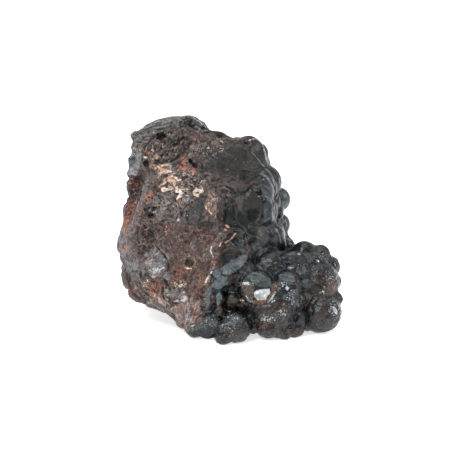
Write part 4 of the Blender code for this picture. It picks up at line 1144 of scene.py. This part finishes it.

# Light grit, holes and worn crests of the crust, and where in their grains they lie
# The hole colour is painted shade: it blackens the holes, pores and pits, and the hollows of crust and
# domes
grit = {
    "light": (0.26, 0.21, 0.18), "lightRange": (0.64, 0.72, 0.0, 0.6),
    "hole": (0.009, 0.007, 0.006), "holeRange": (0.37, 0.33), "poreRange": (0.41, 0.36),
    "crest": (0.19, 0.165, 0.15), "crestRange": (-0.04, -0.22, 0.0, 0.35),
    "domeHollowShade": (0.10, 0.40, 0.0, 0.5), "crustHollowShade": (0.04, 0.24, 0.0, 0.8),
    "calm": (0.0, 1.0, 1.0, 0.25),
    "pitZone": {
        "soft": 0.9,
        "blots": [
            (150, 236, 16, 17, 0), (136, 186, 9, 16, 0), (152, 206, 6, 8, 0), (186, 244, 16, 12, 0, 0.5),
        ],
    },
    "zoneHoles": 0.10,           # how many more holes the pit zone has
    "hollowSteps": 8,            # over how many steps of the mesh a hollow is measured
}

# The upper domes are satin; the grain of the low ones fades over some mm of height
calmDomes = {"rough": 0.32, "fade": 6.0, "least": 0.1}

# Patches of a finish where the front view doesn't reach: the noise that they begin at, the width
# of their rims in it, and how strong they get
hiddenPatches = {"from": 0.45, "over": 0.5, "most": 0.62, "apart": 100.0, "octaves": 2}


def store(name, values):
    fine.attributes.new(name, "FLOAT", "POINT").data.foreach_set("value", values.astype(np.float32))


def finishShare(surface, crust, finish):
    total = placesShare(surface, finish)
    for side, share in (("crustElsewhere", crust), ("domeElsewhere", 1.0 - crust)):
        if side in finish:
            size, amount = finish[side]
            shifted = surface.points + hiddenPatches["apart"] * amount
            field = noiseField(shifted, size, hiddenPatches["octaves"])
            patches = (field - hiddenPatches["from"] + amount) / hiddenPatches["over"]
            patches = np.clip(patches, 0.0, hiddenPatches["most"])
            total = np.maximum(total, patches * share * (1.0 - surface.seen))
    return total


surface = Surface(fine)
crust = crustShare(surface)
store("crust", crust)
for name, finish in oreFinish.items():
    if name != "crust":
        store(name, finishShare(surface, crust, finish))
for name, streak in streaks.items():
    store(name, placesShare(surface, streak) * streak["share"])
for name, area in (("calm", calmPlaces), ("pitShade", pitShade), ("pitZone", grit["pitZone"])):
    store(name, placesShare(surface, area))
sunk = spread(surface.points, surface.edges, grit["hollowSteps"]) - surface.points
store("hollow", np.einsum("ij,ij->i", sunk, surface.normals))
low = (relief["calmHeight"][1] - surface.points[:, 2]) / calmDomes["fade"]
footGrain = np.clip(low, calmDomes["least"], 1.0)
store("footGrain", footGrain * (1.0 - placesShare(surface, oreFinish["paintedReflection"])))
store("satin", (1.0 - footGrain) * (1.0 - crust))
report("Finishes laid out")

ore = bpy.data.materials.new("ore")
ore.use_nodes = True
tree = ore.node_tree
shader = tree.nodes["Principled BSDF"]
stoneSpace = tree.nodes.new("ShaderNodeTexCoord").outputs["Object"]

# The ore's noises: mm wide, detail, roughness, seed and twist
oreGrains = {
    "patchy": (3.6, 5.0, 0.65, 3.0, 1.2),
    "coarse": (2.2, 5.0, 0.7, 7.0, 1.0),
    "crumbs": (1.2, 3.0, 0.65, 8.0, 1.2),
    "fine": (0.9, 2.0, 0.6, 5.0, 1.5),
    "speck": (0.5, 1.0, 0.5, 9.0, 0.0),
    "holes": (1.1, 1.0, 0.5, 11.0, 0.0),
}

# How much of each grain there is in a finish's dark and light tones, and the values of the grains
# between which tones and rims go over
mixing = {
    "patchy": 0.8, "fine": 0.8, "speck": 0.6,
    "tones": (0.98, 1.22),
    "satinTones": (0.36, 0.66),
    "rim": (0.40, 0.60),
    "blackRim": (0.35, 0.65),
    "blackRagged": 1.6,
    "rimEnd": (0.04, 0.20),
    "streakGrain": (2.0, 0.5),   # detail and roughness
    "streakSeed": 20.0,
    "streakLight": (0.54, 0.66),
    "streakDark": (0.46, 0.34),
    "specular": 0.42,
}


def put(socket, value):
    if isinstance(value, bpy.types.NodeSocket):
        tree.links.new(value, socket)
    elif isinstance(value, tuple):
        socket.default_value = (*value, 1.0)
    else:
        socket.default_value = value


def mask(name):
    node = tree.nodes.new("ShaderNodeAttribute")
    node.attribute_name = name
    return node.outputs["Fac"]


def worked(operation, first, second):
    node = tree.nodes.new("ShaderNodeMath")
    node.operation = operation
    put(node.inputs[0], first)
    put(node.inputs[1], second)
    return node.outputs[0]


def plus(first, second):
    return worked("ADD", first, second)


def minus(first, second):
    return worked("SUBTRACT", first, second)


def times(first, second):
    return worked("MULTIPLY", first, second)


rangeEnds = ("From Min", "From Max", "To Min", "To Max")


def steps(value, low, high, under=0.0, over=1.0):
    node = tree.nodes.new("ShaderNodeMapRange")
    put(node.inputs["Value"], value)
    for name, number in zip(rangeEnds, (low, high, under, over)):
        node.inputs[name].default_value = number
    return node.outputs["Result"]


def blend(share, first, second, kind="FLOAT"):
    node = tree.nodes.new("ShaderNodeMix")
    node.data_type = kind
    sockets = [s for s in node.inputs if s.enabled]
    put(sockets[0], share)
    put(sockets[1], first)
    put(sockets[2], second)
    return next(s for s in node.outputs if s.enabled)


def painted(under, share, colour):
    return blend(share, under, colour, "RGBA")


def grain(size, detail, rough, seed, twist=0.0, vector=None):
    # Noise whose patches are about size mm wide
    node = tree.nodes.new("ShaderNodeTexNoise")
    node.noise_dimensions = "4D"
    node.inputs["W"].default_value = seed
    node.inputs["Scale"].default_value = 1.0 / mm / size
    node.inputs["Detail"].default_value = detail
    node.inputs["Roughness"].default_value = rough
    node.inputs["Distortion"].default_value = twist
    put(node.inputs["Vector"], vector or stoneSpace)
    return node.outputs["Fac"]


def streakGrain(streak, seed):
    # Noise drawn out along the streak's angle in the front view
    turned = tree.nodes.new("ShaderNodeMapping")
    turned.vector_type = "TEXTURE"
    tree.links.new(stoneSpace, turned.inputs["Vector"])
    turned.inputs["Rotation"].default_value = (0.0, -radians(streak["angle"]), 0.0)
    wide = streak["wide"] * mm
    turned.inputs["Scale"].default_value = (streak["long"] * mm, wide, wide)
    return grain(1.0 / mm, *mixing["streakGrain"], seed, vector=turned.outputs["Vector"])


def markShare(name, breaker, ragged, rim):
    # A mark's share of the surface, its rim broken up by a grain
    broken = times(minus(breaker, 0.5), ragged)
    share = steps(plus(mask(name), broken), *rim)
    return times(share, steps(mask(name), *mixing["rimEnd"]))


grains = {name: grain(*values) for name, values in oreGrains.items()}
finer = plus(times(grains["fine"], mixing["fine"]), times(grains["speck"], mixing["speck"]))
mottle = plus(times(grains["patchy"], mixing["patchy"]), finer)
satinTone = steps(grains["patchy"], *mixing["satinTones"])
toneShare = blend(mask("satin"), steps(mottle, *mixing["tones"]), satinTone)
colour = painted(slateTone["dark"], toneShare, slateTone["light"])
rough = blend(mask("footGrain"), calmDomes["rough"], slateTone["rough"])
metal = slateTone["metal"]
shares = {}
for name, finish in oreFinish.items():
    tone = painted(finish["dark"], toneShare, finish["light"])
    share = markShare(name, grains[finish.get("breaks", "coarse")], finish["ragged"], mixing["rim"])
    shares[name] = share
    colour = painted(colour, share, tone)
    rough = blend(share, rough, finish["rough"])
    metal = blend(share, metal, finish["metal"])
    if name == "redCrust":
        for tint in tints.values():
            tintShare = steps(grain(*tint["grain"]), *tint["range"])
            colour = painted(colour, times(tintShare, shares["crust"]), tint["colour"])
for index, (name, streak) in enumerate(streaks.items()):
    drawn = streakGrain(streak, mixing["streakSeed"] + index)
    for tone, limits in (("light", mixing["streakLight"]), ("dark", mixing["streakDark"])):
        colour = painted(colour, times(steps(drawn, *limits), mask(name)), streak[tone])

# Over the finishes: grit, holes, pores and worn crests of the crust, then painted shade in the hollows
# and black-painted pits
gritty = times(shares["crust"], steps(mask("calm"), *grit["calm"]))
holes = minus(grains["holes"], times(mask("pitZone"), grit["zoneHoles"]))
holeShare = steps(holes, *grit["holeRange"])
pores = times(steps(grains["crumbs"], *grit["poreRange"]), mask("pitZone"))
domeHollowShade = steps(mask("hollow"), *grit["domeHollowShade"])
crustHollowShade = steps(mask("hollow"), *grit["crustHollowShade"])
for tone, share in (
    ("light", times(steps(grains["speck"], *grit["lightRange"]), gritty)),
    ("hole", times(holeShare, gritty)),
    ("hole", times(pores, gritty)),
    ("crest", times(steps(mask("hollow"), *grit["crestRange"]), gritty)),
    ("hole", blend(shares["crust"], domeHollowShade, crustHollowShade)),
    ("hole", markShare("pitShade", grains["crumbs"], mixing["blackRagged"], mixing["blackRim"])),
):
    colour = painted(colour, share, grit[tone])
put(shader.inputs["Base Color"], colour)
put(shader.inputs["Metallic"], metal)
put(shader.inputs["Roughness"], rough)
shader.inputs["Specular IOR Level"].default_value = mixing["specular"]

# Bump in mm: deep in the crust, fine on the domes
bumps = {
    "crust": 0.34, "crustSpeck": 0.24, "hole": 0.4, "dome": 0.10, "domeSpeck": 0.14,
    "calm": (0.0, 1.0, 1.0, 0.35),
}
crustBump = plus(times(grains["fine"], bumps["crust"]), times(grains["speck"], bumps["crustSpeck"]))
crustBump = minus(crustBump, times(holeShare, bumps["hole"]))
crustBump = times(crustBump, steps(mask("calm"), *bumps["calm"]))
domeBump = plus(times(grains["fine"], bumps["dome"]), times(grains["speck"], bumps["domeSpeck"]))
domeBump = times(domeBump, mask("footGrain"))
bump = tree.nodes.new("ShaderNodeBump")
bump.inputs["Strength"].default_value = 1.0
bump.inputs["Distance"].default_value = mm
put(bump.inputs["Height"], blend(shares["crust"], domeBump, crustBump))
put(shader.inputs["Normal"], bump.outputs["Normal"])

fine.materials.clear()
fine.materials.append(ore)
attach(stone, "root")
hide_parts("specimen")
report("Ore finished")

# The floor is a wide sheet of white paper inside a white tent
studio = {
    "floorSide": 3.0,            # m
    "paper": (0.9, 0.9, 0.9),
    "paperRough": 0.9,
    "paperGlow": 0.72,           # a lit table keeps the shadows pale
    "tentSides": 0.97,           # brightness of the tent
    "tentFront": 0.27,           # and on the camera's side
    "tentFacing": (0.0, -0.95, 0.1),
    "tentFade": (0.1, 0.85),     # how far round to that side the dark begins and is full
    "lamps": {                   # place in m, width in m, watts
        "keyLight": ((-0.34, -0.40, 0.80), 0.40, 6.2),
        "frontLight": ((0.16, -0.73, 0.37), 0.18, 0.5),
        "rightLight": ((0.8, -0.1, 0.45), 0.3, 2.2),
        "topLight": ((0.0, 0.2, 1.2), 0.8, 5.0),
    },
}


def paperFloor():
    half = studio["floorSide"] / 2
    corners = [(-half, -half, 0), (half, -half, 0), (half, half, 0), (-half, half, 0)]
    sheet = bpy.data.meshes.new("floor")
    sheet.from_pydata(corners, [], [(0, 1, 2, 3)])
    paper = bpy.data.materials.new("paper")
    paper.use_nodes = True
    inputs = paper.node_tree.nodes["Principled BSDF"].inputs
    inputs["Base Color"].default_value = (*studio["paper"], 1.0)
    inputs["Roughness"].default_value = studio["paperRough"]
    inputs["Emission Color"].default_value = (*studio["paper"], 1.0)
    inputs["Emission Strength"].default_value = studio["paperGlow"]
    sheet.materials.append(paper)
    return linked("floor", sheet)


def whiteTent():
    world = bpy.data.worlds.new("tent")
    bpy.context.scene.world = world
    world.use_nodes = True
    nodes, links = world.node_tree.nodes, world.node_tree.links
    facing = nodes.new("ShaderNodeVectorMath")
    facing.operation = "DOT_PRODUCT"
    facing.inputs[1].default_value = studio["tentFacing"]
    links.new(nodes.new("ShaderNodeTexCoord").outputs["Generated"], facing.inputs[0])
    fall = nodes.new("ShaderNodeMapRange")
    fall.interpolation_type = "SMOOTHSTEP"
    ends = (*studio["tentFade"], studio["tentSides"], studio["tentFront"])
    for name, number in zip(rangeEnds, ends):
        fall.inputs[name].default_value = number
    links.new(facing.outputs["Value"], fall.inputs["Value"])
    links.new(fall.outputs["Result"], nodes["Background"].inputs["Strength"])
    nodes["Background"].inputs["Color"].default_value = (1.0, 1.0, 1.0, 1.0)


def softLight(name, spot, size, watts):
    lamp = bpy.data.lights.new(name, "AREA")
    lamp.energy = watts
    lamp.size = size
    holder = linked(name, lamp)
    holder.location = spot
    aim = Vector(frontView["target"]) * mm - Vector(spot)
    holder.rotation_euler = aim.to_track_quat("-Z", "Y").to_euler()


def photoCamera():
    lens = bpy.data.cameras.new("camera")
    lens.sensor_width = frontView["sensor"]
    seenWidth = frontView["pixels"] * frontView["mmPerPixel"]
    lens.lens = frontView["sensor"] * frontView["distance"] / seenWidth
    lens.clip_start = frontView["clip"]
    camera = linked("camera", lens)
    camera.location = Vector(cameraPlace) * mm
    camera.rotation_euler = Vector(lookAhead).to_track_quat("-Z", "Y").to_euler()
    return camera


floor = paperFloor()
whiteTent()
for name, (spot, size, watts) in studio["lamps"].items():
    softLight(name, spot, size, watts)
bpy.context.scene.camera = photoCamera()
bpy.context.scene.view_settings.view_transform = "Standard"

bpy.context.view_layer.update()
report("Scene ready")
